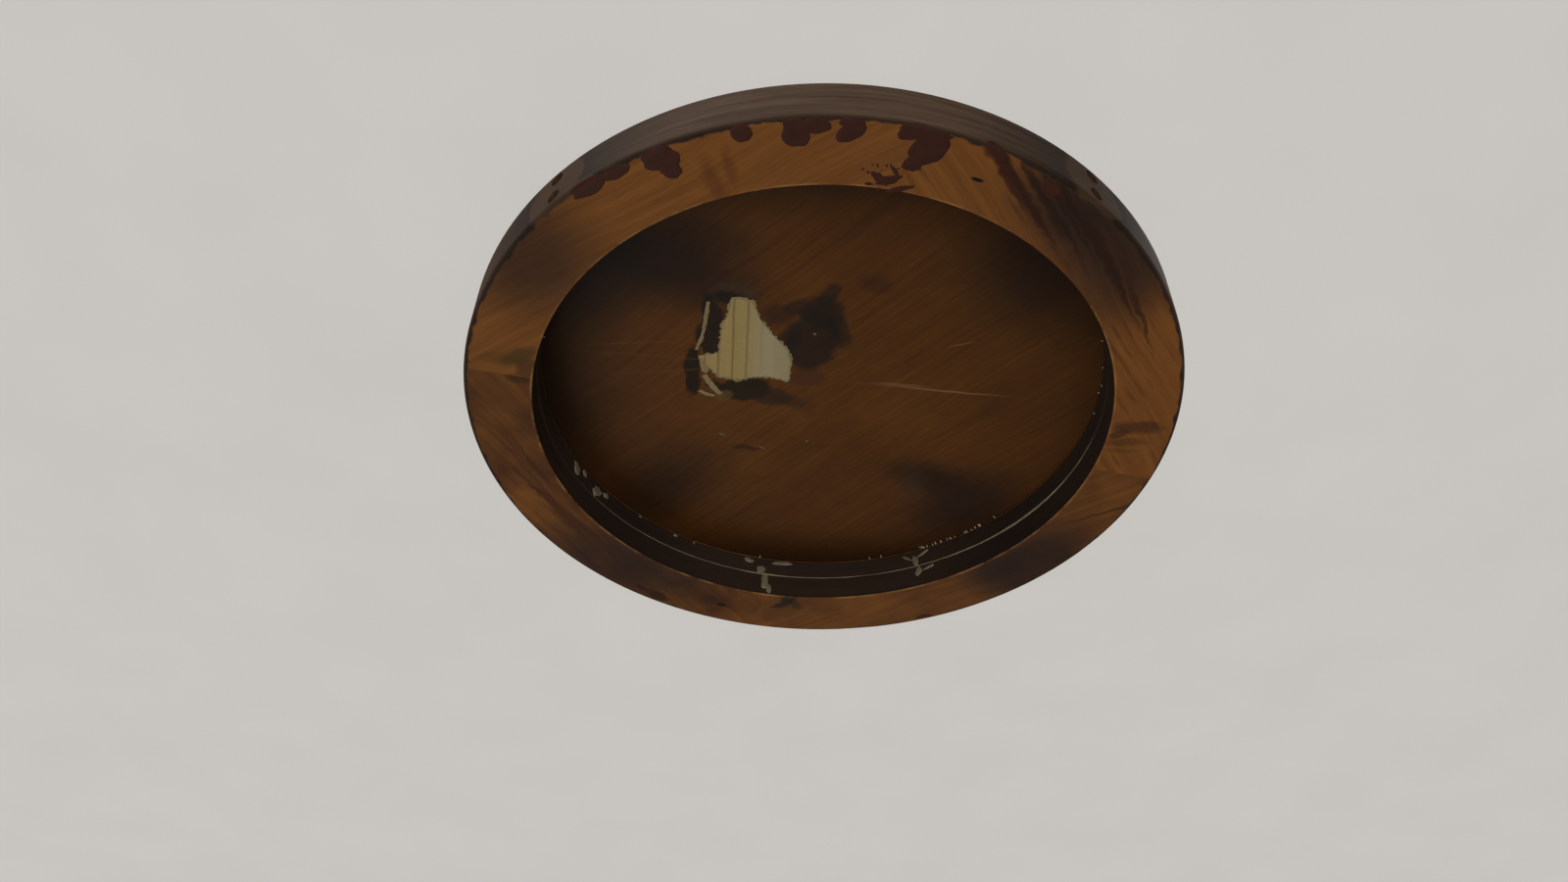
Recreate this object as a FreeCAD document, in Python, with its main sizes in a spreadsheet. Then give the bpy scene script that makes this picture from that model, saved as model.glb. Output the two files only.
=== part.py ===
# Round padded chair seat: a glued wooden ring of two courses, and an upholstered board that lies on
# it and lifts off. Millimetres and degrees, +Z up, origin at the centre of the ring's bottom face.
import FreeCAD, Part
import os
import Sketcher
from math import cos, radians, sin
from FreeCAD import Placement, Rotation, Vector

os.makedirs("parts", exist_ok=True)
doc = FreeCAD.newDocument("chair_seat_pad")
sheet = doc.addObject("Spreadsheet::Sheet", "dims")

drivingDimensions = {
    # ring of two courses of sawn segments
    "outer_radius": 200,
    "ring_width": 37.7,
    "lower_course": 15.7,
    "upper_course": 12.8,
    "upper_step": 1.2,
    "edge_round": 3.1,
    "bore_arris": 0.6,
    "top_round": 1.6,
    "segment_sweep": 90,
    "lower_joint_angle": 13,
    "upper_joint_angle": 67,
    # pins that hold the two courses together
    "pin_radius": 0.8,
    "pin_length": 22,
    "pin_head_radius": 1.3,
    "pin_head_thickness": 1,
    "pin_inset": 13,
    "pin_spread": 30,
    # blind holes in the outer wall for the leg dowels, one in each course at each leg
    "leg_dowel_radius": 4,
    "leg_dowel_depth": 25,
    "leg_angle_one": 42,
    "leg_angle_two": 138,
    "leg_angle_three": 229,
    "leg_angle_four": 311,
    # plywood board and the pegs that locate it on the ring
    "board_inset": 14,
    "board_thickness": 6,
    "peg_radius": 4,
    "peg_in_board": 4,
    "peg_in_ring": 8,
    "peg_from_bore": 7.9,
    "peg_clearance": 0.25,
    # filling, measured above the board
    "insert_inset": 66,
    "insert_bevel": 12,
    "insert_thickness": 6,
    "foam_side": 8,
    "foam_crown": 24,
    "wadding_side": 2,
    "wadding_crown": 4,
    "wadding_shoulder": 1,
    # cloth
    "lining_thickness": 0.4,
    "cover_thickness": 0.7,
    "cover_hem": 12,
    "cover_round": 1.5,
    "cloth_gap": 0.1,
    "ride_gap": 0.3,
    # tacks
    "tack_head_radius": 2.5,
    "tack_head_thickness": 0.4,
    "tack_shank_radius": 0.7,
    "tack_point_radius": 0.2,
    "tack_length": 4.8,
    "tack_from_edge": 7,
    "cover_tack_count": 28,
    "lining_tack_count": 20,
    # torn paper label under the board
    "label_thickness": 0.2,
}
for row, (alias, value) in enumerate(drivingDimensions.items(), start=1):
    sheet.set(f"A{row}", alias)
    sheet.set(f"B{row}", str(value))
    sheet.setAlias(f"B{row}", alias)
doc.recompute()

# Sizes that follow from the driving ones, as expressions for setExpression.
OUTER = "dims.outer_radius"
LOWER_BORE = "(dims.outer_radius - dims.ring_width)"
UPPER_BORE = "(dims.outer_radius - dims.ring_width - dims.upper_step)"
RING_TOP = "(dims.lower_course + dims.upper_course)"
BOARD_BOTTOM = f"({RING_TOP} + dims.ride_gap + dims.tack_head_thickness + dims.cover_thickness)"
BOARD_TOP = f"({BOARD_BOTTOM} + dims.board_thickness)"
BOARD_RADIUS = "(dims.outer_radius - dims.board_inset)"
FOAM_RADIUS = f"({BOARD_RADIUS} - dims.wadding_side)"
INSERT_RADIUS = f"({BOARD_RADIUS} - dims.insert_inset)"
PEG_CIRCLE = f"({UPPER_BORE} + dims.peg_from_bore)"
WADDING_SIDE = "(dims.foam_side + dims.wadding_shoulder)"
WADDING_CROWN = "(dims.foam_crown + dims.wadding_crown)"
CLOTH_SIDE = f"(dims.board_thickness + {WADDING_SIDE})"
CLOTH_CROWN = f"(dims.board_thickness + {WADDING_CROWN})"
LINING_CAVITY_GROWTH = "dims.cloth_gap"
LINING_GROWTH = f"({LINING_CAVITY_GROWTH} + dims.lining_thickness)"
COVER_CAVITY_GROWTH = f"({LINING_GROWTH} + dims.tack_head_thickness + 2 * dims.cloth_gap)"
COVER_GROWTH = f"({COVER_CAVITY_GROWTH} + dims.cover_thickness)"


def size(expression):
    return float(sheet.evalExpression(expression))


def bind(thing, **expressions):
    for prop, expression in expressions.items():
        thing.setExpression(prop, expression)
    return thing


def raised(thing, expression):
    thing.setExpression("Placement.Base.z", expression)
    return thing


def cylinder(name, radius, height, bottom="0"):
    made = doc.addObject("Part::Cylinder", name)
    return raised(bind(made, Radius=radius, Height=height), bottom)


def fuse(name, pieces):
    made = doc.addObject("Part::MultiFuse", name)
    made.Shapes = pieces
    return made


def cut(name, base, tool):
    made = doc.addObject("Part::Cut", name)
    made.Base = base
    made.Tool = tool
    return made


def radialPlace(radius, angle, height, direction):
    # direction is the way the piece's own +Z points: "out", "in" or "up"
    out = Vector(cos(radians(angle)), sin(radians(angle)), 0)
    heading = {"out": out, "in": -out, "up": Vector(0, 0, 1)}[direction]
    return Placement(out * radius + Vector(0, 0, height), Rotation(Vector(0, 0, 1), heading))


def group(name, master, places):
    # separate solids in one piece, one copy of the master at each place
    made = doc.addObject("Part::Feature", name)
    copies = []
    for place in places:
        copy = master.Shape.copy()
        copy.Placement = place.multiply(copy.Placement)
        copies.append(copy)
    made.Shape = Part.makeCompound(copies)
    return made


# Ring cutters: pins, leg dowel holes and peg holes, all in their final places.
legAngles = [size(f"dims.leg_angle_{word}") for word in ("one", "two", "three", "four")]
sweep = size("dims.segment_sweep")
segmentCount = round(360 / sweep)
lowerCentres = [size("dims.lower_joint_angle") + sweep * (index + 0.5) for index in range(segmentCount)]
upperCentres = [size("dims.upper_joint_angle") + sweep * (index - 0.5) for index in range(segmentCount)]

pinShaft = cylinder("pin_shaft", "dims.pin_radius", "dims.pin_length")
pinHead = cylinder(
    "pin_head", "dims.pin_head_radius", "dims.pin_head_thickness", "dims.pin_length - dims.pin_head_thickness"
)
pinMaster = fuse("pin_master", [pinShaft, pinHead])
doc.recompute()
pinCircle = size(f"{OUTER} - dims.pin_inset")
pinBottom = size(f"{RING_TOP} - dims.pin_length")
pinAngles = [centre + side * size("dims.pin_spread") for centre in upperCentres for side in (-1, 1)]
coursePins = group(
    "course_pins", pinMaster, [radialPlace(pinCircle, angle, pinBottom, "up") for angle in pinAngles]
)

legHoleMaster = cylinder("leg_hole_master", "dims.leg_dowel_radius", "dims.leg_dowel_depth + dims.ring_width")
pegHoleMaster = cylinder(
    "peg_hole_master", "dims.peg_radius + dims.peg_clearance", "dims.peg_in_ring + dims.board_thickness"
)
pegMaster = cylinder(
    "peg_master", "dims.peg_radius", f"dims.peg_in_board + dims.peg_in_ring + {BOARD_BOTTOM} - {RING_TOP}"
)
doc.recompute()
holeStart = size(f"{OUTER} - dims.leg_dowel_depth")
holeHeights = [size("dims.lower_course / 2"), size("dims.lower_course + dims.upper_course / 2")]
legHoles = group(
    "leg_holes",
    legHoleMaster,
    [radialPlace(holeStart, angle, height, "out") for angle in legAngles for height in holeHeights],
)
pegCircle = size(PEG_CIRCLE)
pegTip = size(f"{RING_TOP} - dims.peg_in_ring")
pegHoleBottom = pegTip - size("dims.peg_clearance")
pegHoles = group(
    "peg_holes",
    pegHoleMaster,
    [radialPlace(pegCircle, angle, pegHoleBottom, "up") for angle in upperCentres],
)
locatingPegs = group(
    "locating_pegs", pegMaster, [radialPlace(pegCircle, angle, pegTip, "up") for angle in upperCentres]
)


# Ring segments: a sector is sketched about +X, padded, rounded and turned to its place.
def originPlane(body, role):
    return next(feature for feature in body.Origin.OriginFeatures if feature.Role == role)


def sectorSketch(body, name, bore):
    sketch = body.newObject("Sketcher::SketchObject", name)
    sketch.AttachmentSupport = (originPlane(body, "XY_Plane"), [""])
    sketch.MapMode = "FlatFace"
    half = radians(sweep / 2)
    outerRadius = size(OUTER)
    boreRadius = size(bore)
    centre = Vector(0, 0, 0)
    up = Vector(0, 0, 1)
    outerArc = sketch.addGeometry(Part.ArcOfCircle(Part.Circle(centre, up, outerRadius), -half, half))
    boreArc = sketch.addGeometry(Part.ArcOfCircle(Part.Circle(centre, up, boreRadius), -half, half))
    sides = []
    for sign in (-1, 1):
        out = Vector(cos(half), sign * sin(half), 0)
        sides.append(sketch.addGeometry(Part.LineSegment(out * boreRadius, out * outerRadius)))
    for arc in (outerArc, boreArc):
        sketch.addConstraint(Sketcher.Constraint("Coincident", arc, 3, -1, 1))
    for arcEnd, side in enumerate(sides, start=1):
        sketch.addConstraint(Sketcher.Constraint("Coincident", side, 1, boreArc, arcEnd))
        sketch.addConstraint(Sketcher.Constraint("Coincident", side, 2, outerArc, arcEnd))
        sketch.addConstraint(Sketcher.Constraint("PointOnObject", -1, 1, side))
    outerSize = sketch.addConstraint(Sketcher.Constraint("Radius", outerArc, outerRadius))
    boreSize = sketch.addConstraint(Sketcher.Constraint("Radius", boreArc, boreRadius))
    sketch.setExpression(f"Constraints[{outerSize}]", OUTER)
    sketch.setExpression(f"Constraints[{boreSize}]", bore)
    for sign, side in zip((-1, 1), sides):
        angle = sketch.addConstraint(Sketcher.Constraint("Angle", side, sign * half))
        sketch.setExpression(f"Constraints[{angle}]", f"{sign} * dims.segment_sweep / 2 * 1 deg")
    return sketch


def arcEdges(shape, radius, height):
    # names of the arcs of that radius that lie flat at that height
    return [
        f"Edge{index}"
        for index, edge in enumerate(shape.Edges, start=1)
        if isinstance(edge.Curve, Part.Circle)
        and abs(edge.Curve.Radius - radius) < 0.01
        and abs(edge.BoundBox.ZMin - height) < 0.01
        and abs(edge.BoundBox.ZMax - height) < 0.01
    ]


def ringSegment(name, bore, height, bottom, centreAngle, roundings):
    body = doc.addObject("PartDesign::Body", f"{name}_blank")
    blank = body.newObject("PartDesign::Pad", f"{name}_pad")
    blank.Profile = sectorSketch(body, f"{name}_plan", bore)
    blank.setExpression("Length", height)
    doc.recompute()
    for number, (radius, level, rounding) in enumerate(roundings, start=1):
        fillet = body.newObject("PartDesign::Fillet", f"{name}_rounding_{number}")
        fillet.Base = (blank, arcEdges(blank.Shape, size(radius), size(level)))
        fillet.setExpression("Radius", rounding)
        doc.recompute()
        blank = fillet
    body.Placement = Placement(Vector(0, 0, size(bottom)), Rotation(Vector(0, 0, 1), centreAngle))
    return cut(name, body, ringCutters)


ringCutters = fuse("ring_cutters", [coursePins, legHoles, pegHoles])
lowerRoundings = [(OUTER, "0", "dims.edge_round"), (LOWER_BORE, "0", "dims.bore_arris")]
upperRoundings = [(OUTER, "dims.upper_course", "dims.top_round")]
lowerSegments = [
    ringSegment(f"lower_segment_{index + 1}", LOWER_BORE, "dims.lower_course", "0", angle, lowerRoundings)
    for index, angle in enumerate(lowerCentres)
]
upperSegments = [
    ringSegment(
        f"upper_segment_{index + 1}",
        UPPER_BORE,
        "dims.upper_course",
        "dims.lower_course",
        angle,
        upperRoundings,
    )
    for index, angle in enumerate(upperCentres)
]

# Tacks: a flat head and a tapered shank, pointing along +Z from the cloth into the board.
tackHead = cylinder("tack_head", "dims.tack_head_radius", "dims.tack_head_thickness")
tackShank = doc.addObject("Part::Cone", "tack_shank")
bind(
    tackShank,
    Radius1="dims.tack_shank_radius",
    Radius2="dims.tack_point_radius",
    Height="dims.tack_length",
)
raised(tackShank, "dims.tack_head_thickness")
tackMaster = fuse("tack_master", [tackHead, tackShank])
doc.recompute()


def aroundCircle(count, phase=0):
    return [360 * (index + phase) / count for index in range(count)]


coverTackCircle = size(f"{BOARD_RADIUS} - dims.tack_from_edge")
coverTackBottom = size(f"{BOARD_BOTTOM} - dims.cover_thickness - dims.tack_head_thickness")
coverTacks = group(
    "cover_tacks",
    tackMaster,
    [
        radialPlace(coverTackCircle, angle, coverTackBottom, "up")
        for angle in aroundCircle(int(size("dims.cover_tack_count")), 0.5)
    ],
)
liningTackCircle = size(f"{BOARD_RADIUS} + {LINING_GROWTH} + dims.cloth_gap + dims.tack_head_thickness")
liningTackHeight = size(f"{BOARD_BOTTOM} + dims.board_thickness / 2")
liningTacks = group(
    "lining_tacks",
    tackMaster,
    [
        radialPlace(liningTackCircle, angle, liningTackHeight, "in")
        for angle in aroundCircle(int(size("dims.lining_tack_count")))
    ],
)

# Board: plywood disc, bored for the pegs and pierced by the tacks.
boardBlank = cylinder("board_blank", BOARD_RADIUS, "dims.board_thickness", BOARD_BOTTOM)
boardCutters = fuse("board_cutters", [locatingPegs, coverTacks, liningTacks])
seatBoard = cut("seat_board", boardBlank, boardCutters)


# Filling and cloth: each layer is a straight side under a half-ellipsoid dome.
def dome(name, radius, bottom, side, crown):
    wall = cylinder(f"{name}_side", radius, side, bottom)
    top = doc.addObject("Part::Ellipsoid", f"{name}_top")
    bind(top, Radius1=f"{crown} - {side}", Radius2=radius, Radius3=radius)
    top.Angle1 = 0
    top.Angle2 = 90
    raised(top, f"{bottom} + {side}")
    return fuse(name, [wall, top])


insert = doc.addObject("Part::Cone", "foam_insert")
bind(
    insert,
    Radius1=INSERT_RADIUS,
    Radius2=f"{INSERT_RADIUS} - dims.insert_bevel",
    Height="dims.insert_thickness",
)
raised(insert, BOARD_TOP)
foamOutline = dome("foam_outline", FOAM_RADIUS, BOARD_TOP, "dims.foam_side", "dims.foam_crown")
foamPad = cut("foam_pad", foamOutline, insert)

waddingOutline = dome("wadding_outline", BOARD_RADIUS, BOARD_TOP, WADDING_SIDE, WADDING_CROWN)
waddingCavity = dome(
    "wadding_cavity",
    f"{FOAM_RADIUS} + dims.cloth_gap",
    BOARD_TOP,
    "dims.foam_side",
    "dims.foam_crown + dims.cloth_gap",
)
wadding = cut("wadding", waddingOutline, waddingCavity)


def clothOutline(name, growth):
    return dome(name, f"{BOARD_RADIUS} + {growth}", BOARD_BOTTOM, CLOTH_SIDE, f"{CLOTH_CROWN} + {growth}")


liningShell = cut(
    "lining_shell",
    clothOutline("lining_outline", LINING_GROWTH),
    clothOutline("lining_cavity", LINING_CAVITY_GROWTH),
)
lining = cut("lining", liningShell, liningTacks)

coverOutline = clothOutline("cover_outline", COVER_GROWTH)
coverHem = cylinder(
    "cover_hem",
    f"{BOARD_RADIUS} + {COVER_GROWTH}",
    "dims.cover_thickness + dims.board_thickness / 2",
    f"{BOARD_BOTTOM} - dims.cover_thickness",
)
coverBlank = fuse("cover_blank", [coverOutline, coverHem])
doc.recompute()
coverRounded = doc.addObject("Part::Fillet", "cover_rounded")
coverRounded.Base = coverBlank
lowest = size(f"{BOARD_BOTTOM} - dims.cover_thickness")
hemEdges = [
    index
    for index, edge in enumerate(coverBlank.Shape.Edges, start=1)
    if edge.BoundBox.ZMax < lowest + 0.01 and edge.BoundBox.ZMin > lowest - 0.01
]
coverRounded.Edges = [(index, size("dims.cover_round"), size("dims.cover_round")) for index in hemEdges]
hemOpening = cylinder(
    "hem_opening",
    f"{BOARD_RADIUS} - dims.cover_hem",
    "dims.cover_thickness + dims.board_thickness / 2",
    f"{BOARD_BOTTOM} - dims.cover_thickness",
)
coverCavity = clothOutline("cover_cavity", COVER_CAVITY_GROWTH)
coverCutters = fuse("cover_cutters", [coverCavity, hemOpening, coverTacks, pegHoles])
seatCover = cut("seat_cover", coverRounded, coverCutters)

# Paper label, torn at its right and lower edges: corners in millimetres from the board's centre.
labelCorners = [
    (-49, -68),
    (-38, -67),
    (-34, -53),
    (-26, -40),
    (-19, -30),
    (-17, -20),
    (-19, -6),
    (-27, -9),
    (-34, -10),
    (-41, -9),
    (-48, -7),
    (-59, -10),
    (-66, -19),
    (-70, -26),
    (-58, -28),
    (-55, -49),
    (-51, -58),
]
labelPlan = Part.makePolygon([Vector(x, y, 0) for x, y in labelCorners + labelCorners[:1]])
paperLabel = doc.addObject("Part::Feature", "paper_label")
paperLabel.Shape = Part.Face(labelPlan).extrude(Vector(0, 0, size("dims.label_thickness")))
paperLabel.Placement = Placement(Vector(0, 0, size(f"{BOARD_BOTTOM} - dims.label_thickness")), Rotation())

subParts = [
    *lowerSegments,
    *upperSegments,
    coursePins,
    locatingPegs,
    seatBoard,
    paperLabel,
    insert,
    foamPad,
    wadding,
    lining,
    liningTacks,
    seatCover,
    coverTacks,
]
doc.recompute()
for thing in doc.Objects:
    if "Invalid" in thing.State or "Error" in thing.State:
        raise RuntimeError(f"{thing.Name} did not rebuild: {thing.State}")
for part in subParts:
    part.Label = part.Name
    if part.Shape.isNull() or not part.Shape.isValid() or not part.Shape.Solids:
        raise RuntimeError(f"{part.Label} has no valid solid")
    part.Shape.exportStep(f"parts/{part.Label}.step")
    box = part.Shape.BoundBox
    print(
        f"{part.Label}: {len(part.Shape.Solids)} solids, {part.Shape.Volume:.0f} mm3, "
        f"z {box.ZMin:.2f} to {box.ZMax:.2f}"
    )
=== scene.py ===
# Round padded chair seat: looks for the glued ring, the stained board, its torn label and the upholstery.
import math
import random

import bpy
import numpy as np
from mathutils import Matrix, Vector, geometry, noise


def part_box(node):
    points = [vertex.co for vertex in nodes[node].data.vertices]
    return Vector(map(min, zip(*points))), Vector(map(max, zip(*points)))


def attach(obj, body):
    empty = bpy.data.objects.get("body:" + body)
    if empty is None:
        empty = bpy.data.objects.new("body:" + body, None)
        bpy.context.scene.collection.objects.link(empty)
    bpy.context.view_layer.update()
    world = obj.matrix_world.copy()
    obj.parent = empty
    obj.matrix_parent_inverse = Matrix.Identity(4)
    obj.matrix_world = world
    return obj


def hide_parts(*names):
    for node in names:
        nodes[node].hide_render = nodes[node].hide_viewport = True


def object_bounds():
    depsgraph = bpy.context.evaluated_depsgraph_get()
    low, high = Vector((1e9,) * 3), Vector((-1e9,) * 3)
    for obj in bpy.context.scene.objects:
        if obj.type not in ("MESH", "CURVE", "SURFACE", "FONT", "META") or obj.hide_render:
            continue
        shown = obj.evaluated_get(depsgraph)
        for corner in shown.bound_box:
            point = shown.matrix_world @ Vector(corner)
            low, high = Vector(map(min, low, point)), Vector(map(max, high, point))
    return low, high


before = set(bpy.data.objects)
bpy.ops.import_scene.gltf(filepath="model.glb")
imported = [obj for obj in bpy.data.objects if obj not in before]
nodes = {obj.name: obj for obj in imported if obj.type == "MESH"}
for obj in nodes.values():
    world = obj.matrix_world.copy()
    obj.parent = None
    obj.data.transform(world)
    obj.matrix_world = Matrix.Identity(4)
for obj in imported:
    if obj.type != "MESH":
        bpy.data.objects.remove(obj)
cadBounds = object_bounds()
scene = bpy.context.scene
mm = 0.001


def radiiOf(node):  # nearest and farthest distance from the ring's axis, in mm
    reach = [math.hypot(v.co.x, v.co.y) / mm for v in nodes[node].data.vertices]
    return min(reach), max(reach)


def levelsOf(node):  # lowest and highest level, in mm
    low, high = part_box(node)
    return low.z / mm, high.z / mm


lowerBore, outerRadius = radiiOf("lower_segment_1")
upperBore = radiiOf("upper_segment_1")[0]
courseLine = levelsOf("lower_segment_1")[1]
ringTop = levelsOf("upper_segment_1")[1]
boardBottom, boardTop = levelsOf("seat_board")
boardRadius = radiiOf("seat_board")[1]
coverBottom, coverTop = levelsOf("seat_cover")
coverRadius = radiiOf("seat_cover")[1]


def linear(hexText):
    channels = [int(hexText[i : i + 2], 16) / 255 for i in (1, 3, 5)]
    return tuple(c / 12.92 if c <= 0.04045 else ((c + 0.055) / 1.055) ** 2.4 for c in channels) + (1,)


def addNode(tree, kind, inputs=None, **settings):  # an input is a socket, a node, a number or a hex colour
    node = tree.nodes.new("ShaderNode" + kind)
    if kind == "Mix":
        node.data_type = "RGBA"  # all that is mixed here is colour
    for setting, value in settings.items():
        setattr(node, setting, value)
    for key, value in (inputs or {}).items():
        source = next(o for o in value.outputs if o.enabled) if isinstance(value, bpy.types.Node) else value
        if isinstance(source, bpy.types.NodeSocket):
            tree.links.new(source, node.inputs[key])
        else:
            node.inputs[key].default_value = linear(source) if isinstance(source, str) else source
    return node


def startMaterial(name):  # place is the point on the object, in mm
    material = bpy.data.materials.new(name)
    material.use_nodes = True
    tree = material.node_tree
    tree.nodes.clear()
    onObject = addNode(tree, "TexCoord").outputs["Object"]
    place = addNode(tree, "VectorMath", {0: onObject, "Scale": 1 / mm}, operation="SCALE")
    return material, tree, place


def wander(tree, place, every, by):  # the place moved by up to `by` mm, changing every `every` mm
    cloud = addNode(tree, "TexNoise", {"Vector": place, "Scale": 1 / every, "Detail": 3})
    centred = addNode(tree, "VectorMath", {0: cloud.outputs["Color"], 1: (0.5,) * 3}, operation="SUBTRACT")
    return addNode(tree, "VectorMath", {0: centred, 1: (2 * by,) * 3, 2: place}, operation="MULTIPLY_ADD")


def fromAxis(tree, place):  # how far a point is from the ring's axis, in mm
    flat = addNode(tree, "VectorMath", {0: place, 1: (1, 1, 0)}, operation="MULTIPLY")
    return addNode(tree, "VectorMath", {0: flat}, operation="LENGTH")


def blot(tree, place, patch):  # 1 inside an oval patch, 0 outside
    x, y, halfLength, halfWidth, turn, soft, strength, colour = patch
    local = addNode(
        tree,
        "Mapping",
        {"Vector": place, "Location": (x, y, 0), "Rotation": (0, 0, math.radians(turn)),
         "Scale": (halfLength, halfWidth, 1000)},
        vector_type="TEXTURE",
    )
    reach = addNode(tree, "VectorMath", {0: local}, operation="LENGTH")
    return addNode(
        tree,
        "MapRange",
        {0: reach, 1: 1 + soft, 2: max(0, 1 - soft), 3: 0, 4: strength},
        interpolation_type="SMOOTHSTEP",
    )


def woodGrain(tree, place, turn, ringSpacing, fibreWidth):  # growth rings and fibres, each from 0 to 1
    along = addNode(
        tree,
        "Mapping",
        {"Vector": place, "Rotation": (math.radians(35), 0, math.radians(turn))},
        vector_type="TEXTURE",
    )
    bent = wander(tree, along, 110, 6)
    eased = addNode(tree, "Mapping", {"Vector": bent, "Scale": (0.12, 1, 1)})
    rings = addNode(
        tree,
        "TexWave",
        {
            "Vector": eased, "Scale": math.pi / (10 * ringSpacing), "Distortion": 1.6, "Detail": 2,
            "Detail Scale": 0.9,
        },
        bands_direction="Y",
    )
    stretched = addNode(
        tree, "Mapping", {"Vector": bent, "Scale": (1 / 160, 1 / fibreWidth, 1 / fibreWidth)}
    )
    streaks = addNode(tree, "TexNoise", {"Vector": stretched, "Scale": 1, "Detail": 4, "Roughness": 0.8})
    fibres = addNode(tree, "MapRange", {0: streaks.outputs["Fac"], 1: 0.3, 2: 0.7})
    patchy = addNode(tree, "TexNoise", {"Vector": place, "Scale": 1 / 40, "Detail": 2})
    faded = addNode(tree, "MapRange", {0: patchy.outputs["Fac"], 1: 0.4, 2: 0.62, 3: 0.2, 4: 1})
    growth = addNode(tree, "Math", {0: rings.outputs["Fac"], 1: faded}, operation="MULTIPLY")
    return growth.outputs[0], fibres.outputs[0]


def dress(node, material):  # gives one of the frame's own nodes its material
    nodes[node].data.materials.clear()
    nodes[node].data.materials.append(material)


def closeMaterial(material, tree, **inputs):
    names = {
        "colour": "Base Color", "rough": "Roughness", "normal": "Normal", "metal": "Metallic", "ior": "IOR",
        "gloss": "Specular IOR Level", "sheen": "Sheen Weight", "sheenRough": "Sheen Roughness",
        "through": "Subsurface Weight", "depth": "Subsurface Scale",
    }
    shader = addNode(tree, "BsdfPrincipled", {names[key]: value for key, value in inputs.items()})
    addNode(tree, "OutputMaterial", {"Surface": shader})
    return material


# Pine, sawn to segments: raw and thirsty below, dark spirit stain on the walls that ran over the edges.
pine = {
    "raw": "#603814",
    "rawLight": "#7f4f20",
    "latewood": "#4a2a12",
    "stain": "#3c2a1d",
    "stainWorn": "#604b3a",
    "boreStain": "#261a12",
    "edgeLine": "#1d130d",
    "wornArris": "#a57a45",
    "bare": "#553b26",
    "overspray": "#221814",
    "smudge": "#3c2210",
    "footRadius": 21,
    # reach of the dark halo round each leg socket: partly old finish, partly painted shadow of the legs
    "haloAndShadowRadius": 75,
    "footAngles": (42, 138, 229, 311),
    "edgeBand": 2.6,  # mm of raw face that the stain covers at the outer edge
    "fibreWidth": 4.5,  # the widest streaks; finer ones lie in them
}
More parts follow.
